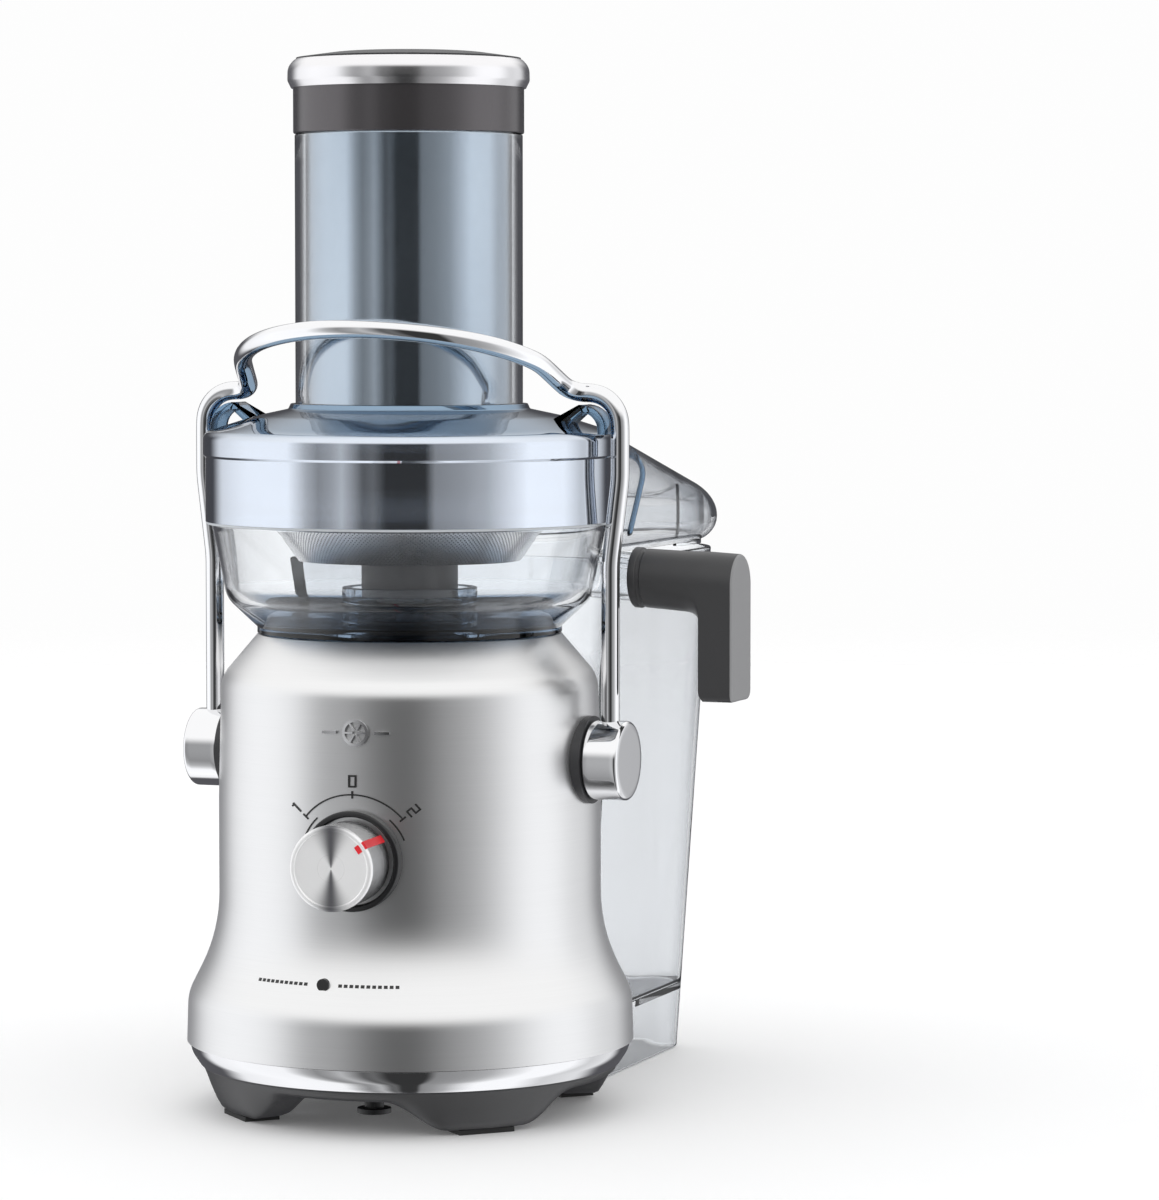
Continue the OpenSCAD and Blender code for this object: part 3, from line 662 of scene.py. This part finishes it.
class JUICER_OT_shell(Maker):
    """Steel shell, trim ring and foot of the motor base"""
    bl_idname = "juicer.shell"
    bl_label = "Motor base"

    def make(self):
        outer = refined(shell_line(0), 4)
        inner = refined(shell_line(-shape().sheet), 8)[::-1]
        shell = turned_piece("steel_shell", np.concatenate([outer, inner]), "base",
                             "brushed_steel")
        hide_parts("outer_shell")
        (_, _, low), (wide, _, high) = local_box("trim_ring")
        high = high - 0.2
        ring = rounded((wide - 9, low, 0), (wide - 4.2, low, 0.6), (wide - 0.6, low + 5.4, 9),
                       (wide, high, 0.4), (wide - 3, high, 0), (wide - 7.6, low + 2.5, 0))
        trim = turned_piece("trim_band", refined(ring, 1.5), "base", "bright_trim")
        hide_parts("trim_ring")
        self.foot()
        self.bars()

    def foot(self):
        """The dark foot: a ring whose underside dips to four legs. Its depth at an angle is a
        smooth step, 3 t^2 - 2 t^3, from the full leg within a few degrees of its middle to none
        beyond its flank. Each point of the section takes its share of that depth."""
        leg_half, flank, under = 12.0, 19.0, 14.0
        depth = under - local_box("base_foot")[0][2]
        a = np.linspace(0, 2 * np.pi, 360, endpoint=False)
        away = np.abs(np.degrees(a) % 90 - 45)
        t = np.clip((leg_half + flank - away) / flank, 0, 1)
        dip = depth * t * t * (3 - 2 * t)
        section = np.array([(4, 18.9, 0), (60, 18.9, 0), (86.2, 18.9, 0), (86.4, 18.2, 0),
                            (85.4, 16.2, 0), (83.6, 15.1, 0.35), (81.4, 14.6, 0.75),
                            (79.6, 14.1, 0.97), (78.4, under, 1), (66, under, 1),
                            (63.6, under, 0.96), (61, under, 0.6), (58.5, under, 0),
                            (30, under, 0), (4, under, 0)])
        r, z, share = section.T[:, :, None]
        grid = np.stack([r * np.cos(a), r * np.sin(a), z - share * dip], -1)
        made = piece_from("foot_ring", *closed_loft(grid, True), "base", "dark_plastic",
                          moulded("foot_plastic", (0.055, 0.055, 0.057), 0.4))
        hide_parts("base_foot")

    def bars(self):
        """Short raised marks each side of the overload lamp, laid on the flare."""
        line = shell_line(0.0)
        lamp_low, lamp_high = local_box("overload_lamp")
        middle, towards = (lamp_low[2] + lamp_high[2]) / 2, np.radians(-92)
        width, gap, height, aside = 1.5, 0.8, 1.2, 4.0
        flare, proud, thick = 84.0, 0.12, 0.3
        parts = []
        for k in [*range(-12, -1), *range(1, 12)]:
            start = np.sign(k) * aside + k * (width + gap)
            s = np.linspace(start, start + width, 3)
            z = np.linspace(middle - height / 2, middle + height / 2, 3)
            r = np.interp(z, line[:, 1], line[:, 0])[:, None] + proud
            angle = towards + s[None, :] / flare
            sheet = np.stack([r * np.cos(angle), r * np.sin(angle),
                              np.repeat(z[:, None], 3, axis=1)], -1)
            parts.append(walled(sheet[::-1], thick))
        piece_from("overload_marks", *joined(parts), "base", "black_print")


class JUICER_OT_dial(Maker):
    """Speed dial and its bezel"""
    bl_idname = "juicer.dial"
    bl_label = "Speed dial"

    def make(self):
        origin = [0, 0, DIAL_Z]
        knob = rounded((0, 82.8, 0), (16.6, 82.8, 0.4), (17.2, DIAL_REACH, 1.3),
                       (15.3, DIAL_REACH, 0.3), (14.9, DIAL_REACH - 0.5, 0.3),
                       (0, DIAL_REACH - 0.9, 0))
        made = turned_piece("dial_knob_spun", refined(knob, 2.0), "dial", "spun_aluminium",
                            closed=False, around=128, origin=origin, axis=DIAL_AXIS)
        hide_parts("dial_knob")
        ring = rounded((17.6, 77.8, 0), (20.3, 77.2, 0), (20.3, 82.2, 0.8), (18.4, 82.6, 0.6),
                       (17.8, 81.4, 0))
        bezel = turned_piece("dial_bezel_ring", ring, "base", "dark_plastic",
                             moulded("gloss_black", (0.015, 0.015, 0.016), 0.22, 0.00001),
                             around=128, origin=origin, axis=DIAL_AXIS)
        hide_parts("dial_bezel")


# ---------------------------------------------------------------------------------------------
# Locking arm

def arm_side():
    """Right upright and shoulder of the arm, from the knob up to the arch."""
    return rounded((88.4, 0, PIVOT_Z + 8, 0), (88.4, 0, 228, 60), (92.5, 0, 262, 60),
                   (92.5, 0, 297.5, 13), (71.5, 0, 297, 9), (*arch_point(70.0), 0), steps=14)


def arch_point(degrees):
    """Point of the arch: (70 sin a, -62 cos a, 299 + 24.5 cos(a)^0.8)."""
    a = np.radians(degrees)
    return np.stack([70 * np.sin(a), -62 * np.cos(a), 299 + 24.5 * np.cos(a) ** 0.8], axis=-1)


class JUICER_OT_arm(Maker):
    """Bent wire locking arm and its pivot knobs"""
    bl_idname = "juicer.arm"
    bl_label = "Locking arm"

    def make(self):
        side = arm_side()
        arch = arch_point(np.linspace(70, -70, 61))[1:-1]
        line = refined(np.concatenate([side, arch, (side * [-1, 1, 1])[::-1]]), 3.0)
        for _ in range(3):
            line[1:-1] = (line[:-2] + 2 * line[1:-1] + line[2:]) / 4
        rod = piece_from("arm_rod", *closed_loft(swept(line, shape().rod / 2)), "arm",
                         "arm_chrome")
        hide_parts("locking_arm")
        face = local_box("pivot_knobs")[1][0]
        barrel = rounded((0, 81.4, 0), (16.3, 81.4, 0.8), (16.3, face, 1.5), (0, face, 0))
        parts = []
        for way in (-1, 1):
            grid = on_axis(turned(refined(barrel, 2.0), 96), (0, 0, PIVOT_Z), (way, 0, 0))
            parts.append(closed_loft(grid))
        knobs = piece_from("pivot_knob_barrels", *joined(parts), "arm", "arm_chrome")
        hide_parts("pivot_knobs")


# ---------------------------------------------------------------------------------------------
# Pusher and chute

class JUICER_OT_pusher(Maker):
    """Pusher with its collar and steel cap"""
    bl_idname = "juicer.pusher"
    bl_label = "Pusher"

    def make(self):
        (_, _, foot), (radius, _, top) = local_box("pusher_body")
        cup = rounded((0, foot, 0), (radius, foot, 3), (radius, top, 0), (radius - 2.5, top, 0),
                      (radius - 2.5, foot + 3, 3), (0, foot + 3, 0))
        body = turned_piece("pusher_cup", refined(cup, 8), "pusher", "smoked_clear",
                            closed=False)
        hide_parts("pusher_body")
        (_, _, low), (_, _, high) = local_box("pusher_collar")
        band = rounded((radius, low, 0), (47.6, low, 0.8), (47.6, high, 0), (radius, high, 0))
        collar = turned_piece("pusher_band", band, "pusher", "dark_plastic", collar_plastic())
        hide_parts("pusher_collar")
        top = high + 15.6
        rim = top - 3.4
        bulge = rounded((48.4, high, 0), (49.9, high + 3.0, 2.5), (49.8, high + 8.5, 6),
                        (46.6, rim, 4), (45.4, rim, 0))
        disc = np.concatenate([[(0, high)], bulge, [(0, rim)]])
        cap = turned_piece("pusher_steel_cap", disc, "pusher", "bright_trim",
                           polished("cap_steel", (0.86, 0.85, 0.86), 0.2), closed=False)
        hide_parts("pusher_cap")
        dome = rounded((0, rim - 0.3, 0), (46.3, rim - 0.2, 0), (46.3, rim + 0.2, 0.1),
                       (30, top - 0.9, 60), (0, top, 0))
        lid = turned_piece("pusher_top_disc", refined(dome, 4), "pusher", "dark_plastic",
                           closed=False)
        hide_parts("pusher_top")


class JUICER_OT_cover(Maker):
    """Clear cover with its feed chute and the two ears under the arm"""
    bl_idname = "juicer.cover"
    bl_label = "Cover"

    def make(self):
        (_, _, low), (outer, _, top) = local_box("feed_chute")
        inner = 44.0
        tube = rounded((inner, low, 0), (outer, low, 1.0), (outer, top, 0.6), (inner, top, 0.6),
                       (inner, low + 3, 0))
        chute = turned_piece("chute_tube", refined(tube, 20), "base", "clear_plastic")
        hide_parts("feed_chute")
        (_, _, foot), (_, _, top) = local_box("cover")
        side, band, hole, seat = 84.3, 85.3, 47.2, 82.4
        inside, rim = side - shape().wall, top - 0.1
        skirt = rounded((side, foot, 0), (side, 270.4, 0), (band, 271.4, 0.3), (band, 280.4, 4),
                        (64, 287.2, 40), (50, 290.2, 1), (49, rim, 0.4), (hole, rim, 0),
                        (hole, 288.2, 0), (64, 284.9, 20), (inside, 277, 4), (inside, 252, 0),
                        (seat, 250.5, 0), (seat, foot + 0.2, 0))
        dome = turned_piece("cover_dome", refined(skirt, 8), "base", "clear_plastic",
                            cover_plastic())
        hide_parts("cover")
        self.ears()

    def ears(self):
        """Two hooked loops: a closed outline carried across Y, drawn in at both ends."""
        top, under, half = 292.4, 289.4, 5.8
        outside = rounded((62.5, 284.5, 0), (66, 284.2, 3), (76.2, top, 3.5), (87.8, top, 10.5),
                          (87.8, 280.2, 0), (84.6, 280.4, 0), (84.6, under, 7.5),
                          (77.8, under, 2.5), (71.2, 283.6, 2.5), (69, 284.4, 0))
        depth = rounded((-half, 0.7, 0), (-half, 0, 0.5), (half, 0, 0.5), (half, 0.7, 0))
        parts = []
        for side in (-1, 1):
            loops = []
            for y, inset in depth:
                drawn = inset_loop(outside, inset)
                loops.append(np.stack([side * drawn[:, 0], np.full(len(drawn), y),
                                       drawn[:, 1]], -1))
            parts.append(band_between(np.array(loops)))
        ears = piece_from("cover_ear_loops", *joined(parts), "base", "clear_plastic",
                          tinted_plastic())
        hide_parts("cover_ears")


def inset_loop(loop, distance):
    """A closed outline drawn in by distance along the bisector of its two edges."""
    step = unit(np.roll(loop, -1, axis=0) - loop)
    turn = unit(step + np.roll(step, 1, axis=0))
    area = np.sum(loop[:, 0] * np.roll(loop[:, 1], -1) - loop[:, 1] * np.roll(loop[:, 0], -1))
    return loop + np.sign(area) * distance * np.stack([-turn[:, 1], turn[:, 0]], -1)


def band_between(loops):
    """Closed solid of loops in parallel planes, with a flat face at each end."""
    rows, columns = loops.shape[:2]
    faces = grid_faces(rows, columns)
    faces.append(list(range(columns)))
    faces.append(list(range((rows - 1) * columns, rows * columns)))
    return loops.reshape(-1, 3), faces


# ---------------------------------------------------------------------------------------------
# Pulp hood and bin

HOOD_HALF, HOOD_CENTRE, HOOD_FOOT = 77.0, 160.0, 228.2
HOOD_FALL = 0.1946                             # of the hood's top, for each mm towards the back


def hood_top(y):
    """Height of the hood's top: a straight fall from the cover to the back."""
    return 284 - HOOD_FALL * (y - 20)


def hood_plan(half, around):
    """The hood's outline from above, half wide, as a straight side, a half circle and a
    straight side. It starts and ends on the cover's skirt."""
    start = np.sqrt(np.maximum(COVER_SKIRT ** 2 - half ** 2, 0))
    n = around // 4
    side = np.stack([np.full(n, half), np.linspace(start, HOOD_CENTRE, n, endpoint=False)], -1)
    a = np.linspace(0, np.pi, around - 2 * n + 1)
    end = np.stack([half * np.cos(a), HOOD_CENTRE + half * np.sin(a)], -1)
    return np.concatenate([side, end, (side * [-1, 1])[::-1]])


class JUICER_OT_hood(Maker):
    """Clear hood that throws the pulp down into the bin. Each section runs up the side from the
    foot, with a quarter ellipse below and above, then straight in over the top to the cover"""
    bl_idname = "juicer.hood"
    bl_label = "Pulp hood"

    def make(self):
        wall = shape().wall - 0.4
        around, bulge, low, high, level_from = 120, 12.0, 11.0, 17.0, 204.0
        rows = []
        for a in np.linspace(0, np.pi / 2, 9):
            plan = hood_plan(HOOD_HALF - bulge * (1 - np.sin(a)), around)
            rows.append(np.column_stack([plan, np.full(len(plan),
                                                       HOOD_FOOT + low * (1 - np.cos(a)))]))
        plan = hood_plan(HOOD_HALF, around)
        crown = hood_top(np.minimum(plan[:, 1], level_from))
        shoulder = np.maximum(crown - high, rows[-1][:, 2] + 0.2)
        for a in np.linspace(0, np.pi / 2, 12):
            drawn = hood_plan(HOOD_HALF - bulge * (1 - np.cos(a)), around)
            rows.append(np.column_stack([drawn, shoulder + (crown - shoulder) * np.sin(a)]))
        edge = rows[-1]
        reach = np.arcsin(np.clip(edge[0, 0] / COVER_SKIRT, -1, 1))
        front = np.linspace(reach, -reach, len(edge))
        skirt = COVER_SKIRT * np.column_stack([np.sin(front), np.cos(front)])
        for t in np.linspace(0, 1, 20)[1:]:
            flat = edge[:, :2] * (1 - t) + skirt * t
            rows.append(np.column_stack([flat, edge[:, 2] * (1 - t) + hood_top(flat[:, 1]) * t]))
        grid = np.array(rows)
        hood = piece_from("pulp_hood", *walled(grid[::-1], wall), "base", "clear_plastic")
        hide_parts("cover_hood")
        self.skirt()
        self.seam()

    def seam(self):
        """Moulded rib round the hood's mouth: up one side, over the top and down the other."""
        side, mouth, thick, sides = HOOD_HALF - 0.6, 80.0, 1.9, 12
        over = hood_top(mouth) - 1.2
        half = rounded((side, 56, 238, 0), (side, mouth, over, 15), (0, mouth, over, 0))
        line = refined(np.concatenate([half[:-1], (half * [-1, 1, 1])[::-1]]), 4)
        piece_from("hood_rib", *closed_loft(swept(line, thick, sides)), "base", "clear_plastic",
                   tinted_plastic())

    def skirt(self):
        """Inner wall that drops from the hood's top to the bin's rim, following the bin. From
        above it is two arcs of one radius, moved apart to each side."""
        wall, radius, apart, middle = 1.8, 50.0, 20.0, 163.0
        foot = local_box("pulp_bin")[1][2] + 1.4
        a = np.linspace(-20, 200, 96) * np.pi / 180
        x = apart * np.clip(np.cos(a) * 4, -1, 1) + radius * np.cos(a)
        y = middle + radius * np.sin(a)
        top = hood_top(y) - 4.6
        rows = [np.column_stack([x, y, foot + (top - foot) * t]) for t in np.linspace(0, 1, 6)]
        piece_from("hood_skirt", *walled(np.array(rows)[::-1], wall), "base", "clear_plastic")


def shell_radius(z):
    """Radius of what stands in front of the bin at height z: the shell up to its shoulder, and
    above it the bowl."""
    shoulder, bowl_wall = 78.0, 212.0
    line = shell_line(0)
    line = line[line[:, 0] > shoulder]
    return np.interp(z, [*line[:, 1], bowl_wall], [*line[:, 0], BOWL_RADIUS])


def bin_plan(z, inset):
    """The bin's outline at height z, drawn in by inset: an arc that keeps clear of the base
    across the front, straight sides, and a back with round corners. From foot to rim it grows
    wider, its corners rounder and its back further out."""
    (_, _, foot), (top_half, back, rim) = local_box("pulp_bin")
    foot_half, foot_round, rim_round, lean, clear = 55.0, 18.0, 50.0, 17.0, 3.0
    t = (z - foot) / (rim - foot)
    half = foot_half + (top_half - foot_half) * t - inset
    round_by = foot_round + (rim_round - foot_round) * t - inset
    end = back - lean * (1 - t) - inset
    front = shell_radius(z) + clear + inset
    reach = np.arcsin(half / front)
    a = np.linspace(-reach, reach, 49)
    arc = front * np.stack([np.sin(a), np.cos(a)], -1)
    b = np.linspace(0, np.pi / 2, 17)
    corner = np.stack([half - round_by + round_by * np.cos(b),
                       end - round_by + round_by * np.sin(b)], -1)
    side = np.linspace(arc[-1], corner[0], 13)[1:-1]
    back_line = np.linspace(corner[-1], corner[-1] * [-1, 1], 13)[1:-1]
    plan = np.concatenate([arc, side, corner, back_line, (corner * [-1, 1])[::-1],
                           (side * [-1, 1])[::-1]])
    return np.column_stack([plan, np.full(len(plan), z)])


class JUICER_OT_bin(Maker):
    """Clear pulp bin with a floor above its foot"""
    bl_idname = "juicer.bin"
    bl_label = "Pulp bin"

    def make(self):
        (_, _, foot), (_, _, rim) = local_box("pulp_bin")
        wall = shape().wall - 0.3
        section = rounded((wall, 26.8, 0), (wall, foot, 0.7), (0.2, foot, 0.7), (0, rim - 3.2, 0),
                          (0, rim, 0.9), (wall + 0.3, rim, 0.9), (wall, rim - 4, 0),
                          (wall, 29.4, 2.5), (wall + 6, 29.4, 0))
        loops = np.array([bin_plan(z, inset) for inset, z in refined(section, 9)])
        made = piece_from("pulp_bin_tub", *closed_loft(loops), "bin", "clear_plastic")
        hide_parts("pulp_bin")


# ---------------------------------------------------------------------------------------------
# Juice nozzle

def slot_loop(x, middle, half, low, corner, inset=0.0):
    """A loop square to X: a half circle of radius half over the middle height, straight sides,
    and a foot at height low whose corners are rounded."""
    half, low = half - inset, low + inset
    corner = min(corner, half - 0.01)
    a = np.linspace(0, np.pi, 25)
    over = np.stack([half * np.cos(a), middle + half * np.sin(a)], -1)
    b = np.linspace(np.pi, 1.5 * np.pi, 9)
    left = np.stack([-half + corner + corner * np.cos(b), low + corner + corner * np.sin(b)], -1)
    right = (left * [-1, 1])[::-1]
    loop = np.concatenate([over, np.linspace(over[-1], left[0], 8)[1:-1], left, right,
                           np.linspace(right[-1], over[0], 8)[1:-1]])
    return np.column_stack([np.full(len(loop), x), loop[:, 0] + SPOUT_START[1], loop[:, 1]])


class JUICER_OT_nozzle(Maker):
    """Juice nozzle: a collar over the spout, a round arm and a square-cut outlet"""
    bl_idname = "juicer.nozzle"
    bl_label = "Juice nozzle"

    def make(self):
        (_, _, foot), (face, _, _) = local_box("nozzle")
        slope = SPOUT_AXIS[2] / SPOUT_AXIS[0]
        inner, fillet, arm, widening = face - 14.5, 9.0, 12.5, 0.5
        outlet = arm + widening

        def axis_z(x):
            return SPOUT_START[2] + slope * (x - SPOUT_START[0])

        loops = []
        for x, r in rounded((91.8, 10.4, 0), (91.8, 12.55, 0.7), (94.9, 12.55, 0.7),
                            (95.3, 11.75, 0.3), (96.6, 11.75, 0.3), (97.1, 12.2, 0.5),
                            (inner - fillet, arm, 0)):
            loops.append(slot_loop(x, axis_z(x), r, axis_z(x) - r, r))
        start = axis_z(inner - fillet) - arm
        for a in np.linspace(0, np.pi / 2, 9)[1:]:
            x = inner - fillet * (1 - np.sin(a))
            half = arm + widening * np.sin(a)
            low = start - fillet * (1 - np.cos(a))
            loops.append(slot_loop(x, axis_z(x), half, low, arm - 5 * (1 - np.cos(a))))
        loops.append(slot_loop(inner, axis_z(inner), outlet, foot + 1.2, 4.0))
        for inset, x in rounded((0, inner + 1.2, 0), (0, face, 1.3), (3, face, 0), steps=7):
            loops.append(slot_loop(x, axis_z(x), outlet, foot, 3.5, inset))
        nozzle = piece_from("juice_nozzle", *closed_loft(np.array(loops)), "nozzle_assembly",
                            "dark_plastic", nozzle_plastic(), smooth=50)
        bore = rounded((0, foot - 1, 0), (5.6, foot - 1, 0), (5.6, foot + 23, 0),
                       (0, foot + 26, 0))
        drill = turned(bore, 64) + [face - 7.25, SPOUT_START[1], 0]
        socket = on_axis(turned([(0, 10), (10.3, 10), (10.3, 39), (7.5, 39), (7.5, 46),
                                 (0, 46)], 64), SPOUT_START, SPOUT_AXIS)
        for name, grid in (("drill", drill), ("socket", socket)):
            cutter = piece_from(name, *closed_loft(grid), "nozzle_assembly", "dark_plastic",
                                nozzle_plastic())
            cut_away(nozzle, cutter)
        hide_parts("nozzle")


# ---------------------------------------------------------------------------------------------
# Bowl

class JUICER_OT_bowl(Maker):
    """Clear juice bowl and its spout"""
    bl_idname = "juicer.bowl"
    bl_label = "Juice bowl"

    def make(self):
        profile = rounded((24.6, 198.1, 0), (63.1, 198.1, 0), (63.1, 200.4, 0.5),
                          (75.6, 212.2, 12), (BOWL_RADIUS, 243, 0.6), (80.5, 243, 0),
                          (80.5, 250, 0.5), (78.3, 250, 0.5), (78.3, 243, 0),
                          (72.9, 214.5, 10), (61, 203, 4), (28, 203, 2), (28, 217, 0.6),
                          (24.6, 217, 0.6))
        bowl = turned_piece("bowl_wall", refined(profile, 3), "base", "clear_plastic",
                            bowl_plastic())
        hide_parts("juice_bowl")
        tube = rounded((7.5, -1.5, 0), (10, -1.5, 0), (10, 38, 0.6), (7.5, 38, 0.6))
        turned_piece("bowl_spout", refined(tube, 6), "base", "clear_plastic", around=64,
                     origin=SPOUT_START, axis=SPOUT_AXIS)


# ---------------------------------------------------------------------------------------------
# Finishes of the CAD nodes that stay

class JUICER_OT_finishes(Maker):
    """Gives every CAD node that stays its finish"""
    bl_idname = "juicer.finishes"
    bl_label = "CAD finishes"

    def make(self):
        slots = {s["node"]: s["material_slot"] for s in frame["record"]["subparts"]}
        for name, node in frame["nodes"].items():
            node.data.materials.clear()
            node.data.materials.append(CAD_FINISHES[slots[name]]())


# ---------------------------------------------------------------------------------------------
# Stage

# Brightness of the room round the juicer, at degrees from the camera, right is positive
ROOM = ((-180, 0.9), (-135, 1.0), (-104, 1.15), (-72, 1.1), (-60, 0.5), (-52, 0.3), (-44, 0.4),
        (-38, 0.55), (-31, 0.3), (-26, 0.12), (-20, 0.16), (-13, 0.04), (9, 0.04), (14, 0.28),
        (30, 0.36), (44, 0.5), (58, 0.85), (70, 1.15), (97, 1.15), (112, 0.75), (135, 0.9),
        (179, 0.9))


class JUICER_OT_stage(Maker):
    """Camera, floor and light"""
    bl_idname = "juicer.stage"
    bl_label = "Stage"

    def make(self):
        s = stage()
        turn = s.camera_turn
        spindle = Vector(SPINDLE * MM)
        back = Vector((np.sin(turn), -np.cos(turn), 0))
        right = Vector((np.cos(turn), np.sin(turn), 0))
        camera = bpy.data.cameras.new("camera")
        camera.lens, camera.sensor_width, camera.sensor_fit = s.lens, 36.0, "AUTO"
        camera.clip_end = 100
        seat = bpy.data.objects.new("camera", camera)
        seat.location = spindle + back * s.camera_away + Vector((0, 0, s.camera_height))
        pitch, yaw = s.camera_tilt, s.camera_aside
        look = (-back * np.cos(yaw) + right * np.sin(yaw)) * np.cos(pitch)
        look.z = np.sin(pitch)
        seat.rotation_mode = "QUATERNION"
        seat.rotation_quaternion = look.to_track_quat("-Z", "Y")
        bpy.context.scene.collection.objects.link(seat)
        bpy.context.scene.camera = seat
        self.floor(s)
        self.world(s, turn)

    def floor(self, s):
        """A level disc whose rim fades into the backdrop."""
        material, p = finish("floor_paint")
        if p:
            x, y, _ = p.split(p.place())
            away = (x * x + y * y) ** 0.5
            full, gone = 1.2, 3.0
            p.surface(tuple(s.floor), Roughness=0.6, Alpha=1.0 - p.step(away, full, gone),
                      Specular_IOR_Level=0.2, Emission_Color=(1.0, 1.0, 1.0),
                      Emission_Strength=0.07)
        radii, around = (600, 1400, 2600, 4000), 96
        grid = turned([(r, 0) for r in radii], around)
        vertices = np.concatenate([grid.reshape(-1, 3), [[0, 0, 0]]])
        faces = grid_faces(len(radii), around)
        faces += [[len(vertices) - 1, j, (j + 1) % around] for j in range(around)]
        mesh = bpy.data.meshes.new("floor")
        mesh.from_pydata(vertices * MM, [], faces)
        mesh.materials.append(material)
        floor = bpy.data.objects.new("floor", mesh)
        bpy.context.scene.collection.objects.link(floor)
        floor.visible_glossy = False

    def world(self, s, turn):
        """Even light from above and, round the horizon, the room's. What is dark behind the
        camera shows only in reflections. Straight ahead, and through clear plastic that has not
        mirrored the ray, the flat backdrop is seen."""
        world = bpy.data.worlds.new("studio")
        world.use_nodes = True
        bpy.context.scene.world = world
        p = Paint(world.node_tree)
        heading = p.node("ShaderNodeTexCoord", out="Generated")
        x, y, z = p.split(p.node("ShaderNodeVectorRotate", {"rotation_type": "Z_AXIS"}, heading,
                                 Angle=float(np.pi / 2 - turn)))
        side = p.math("ARCTAN2", y, x) / float(2 * np.pi) + 0.5
        ramp = p.node("ShaderNodeValToRGB", {"stops": [
            (degrees_round / 360 + 0.5, (level, level * 1.01, level * 1.03))
            for degrees_round, level in ROOM]}, side)
        horizon, overhead = 0.12, 0.5
        up = p.step(z, horizon, overhead)
        room = p.between(up, ramp, (1.1, 1.1, 1.1))
        aside, astern = 0.36, 0.41
        behind = p.step(p.math("ABSOLUTE", side - 0.5), aside, astern)
        mirrored, seen, through, mirrors = (
            p.node("ShaderNodeLightPath", out=ray)
            for ray in ("Is Glossy Ray", "Is Camera Ray", "Is Transmission Ray", "Glossy Depth"))
        room = p.between(behind * mirrored * (1.0 - up), room, (0.1, 0.1, 0.11))
        straight = p.math("MAXIMUM", seen, through * p.math("LESS_THAN", mirrors, 0.5))
        colour = p.between(straight, room, (s.backdrop,) * 3)
        shader = p.node("ShaderNodeBackground", None, colour, 1.0)
        end = p.tree.nodes.new("ShaderNodeOutputWorld")
        p.tree.links.new(shader.socket, end.inputs[0])


class JUICER_PT_panel(bpy.types.Panel):
    """Sizes and steps of the juicer"""
    bl_idname = "JUICER_PT_panel"
    bl_label = "Juicer"
    bl_space_type = "VIEW_3D"
    bl_region_type = "UI"
    bl_category = "Juicer"

    def draw(self, context):
        for group in (context.scene.juicer_shape, context.scene.juicer_stage):
            for name in group.__annotations__:
                self.layout.prop(group, name)
        for step in STEPS:
            self.layout.operator(step.bl_idname)


STEPS = (JUICER_OT_finishes, JUICER_OT_shell, JUICER_OT_dial, JUICER_OT_arm, JUICER_OT_pusher,
         JUICER_OT_cover, JUICER_OT_hood, JUICER_OT_bin, JUICER_OT_bowl, JUICER_OT_nozzle,
         JUICER_OT_stage)
CLASSES = (JuicerShape, JuicerStage, *STEPS, JUICER_PT_panel)


def register():
    for each in CLASSES:
        bpy.utils.register_class(each)
    bpy.types.Scene.juicer_shape = PointerProperty(type=JuicerShape)
    bpy.types.Scene.juicer_stage = PointerProperty(type=JuicerStage)


def unregister():
    del bpy.types.Scene.juicer_stage
    del bpy.types.Scene.juicer_shape
    for each in reversed(CLASSES):
        bpy.utils.unregister_class(each)


def main():
    register()
    bpy.context.scene.view_settings.view_transform = "Standard"
    for step in STEPS:
        group, name = step.bl_idname.split(".")
        getattr(getattr(bpy.ops, group), name)()


if __name__ == "__main__":
    main()
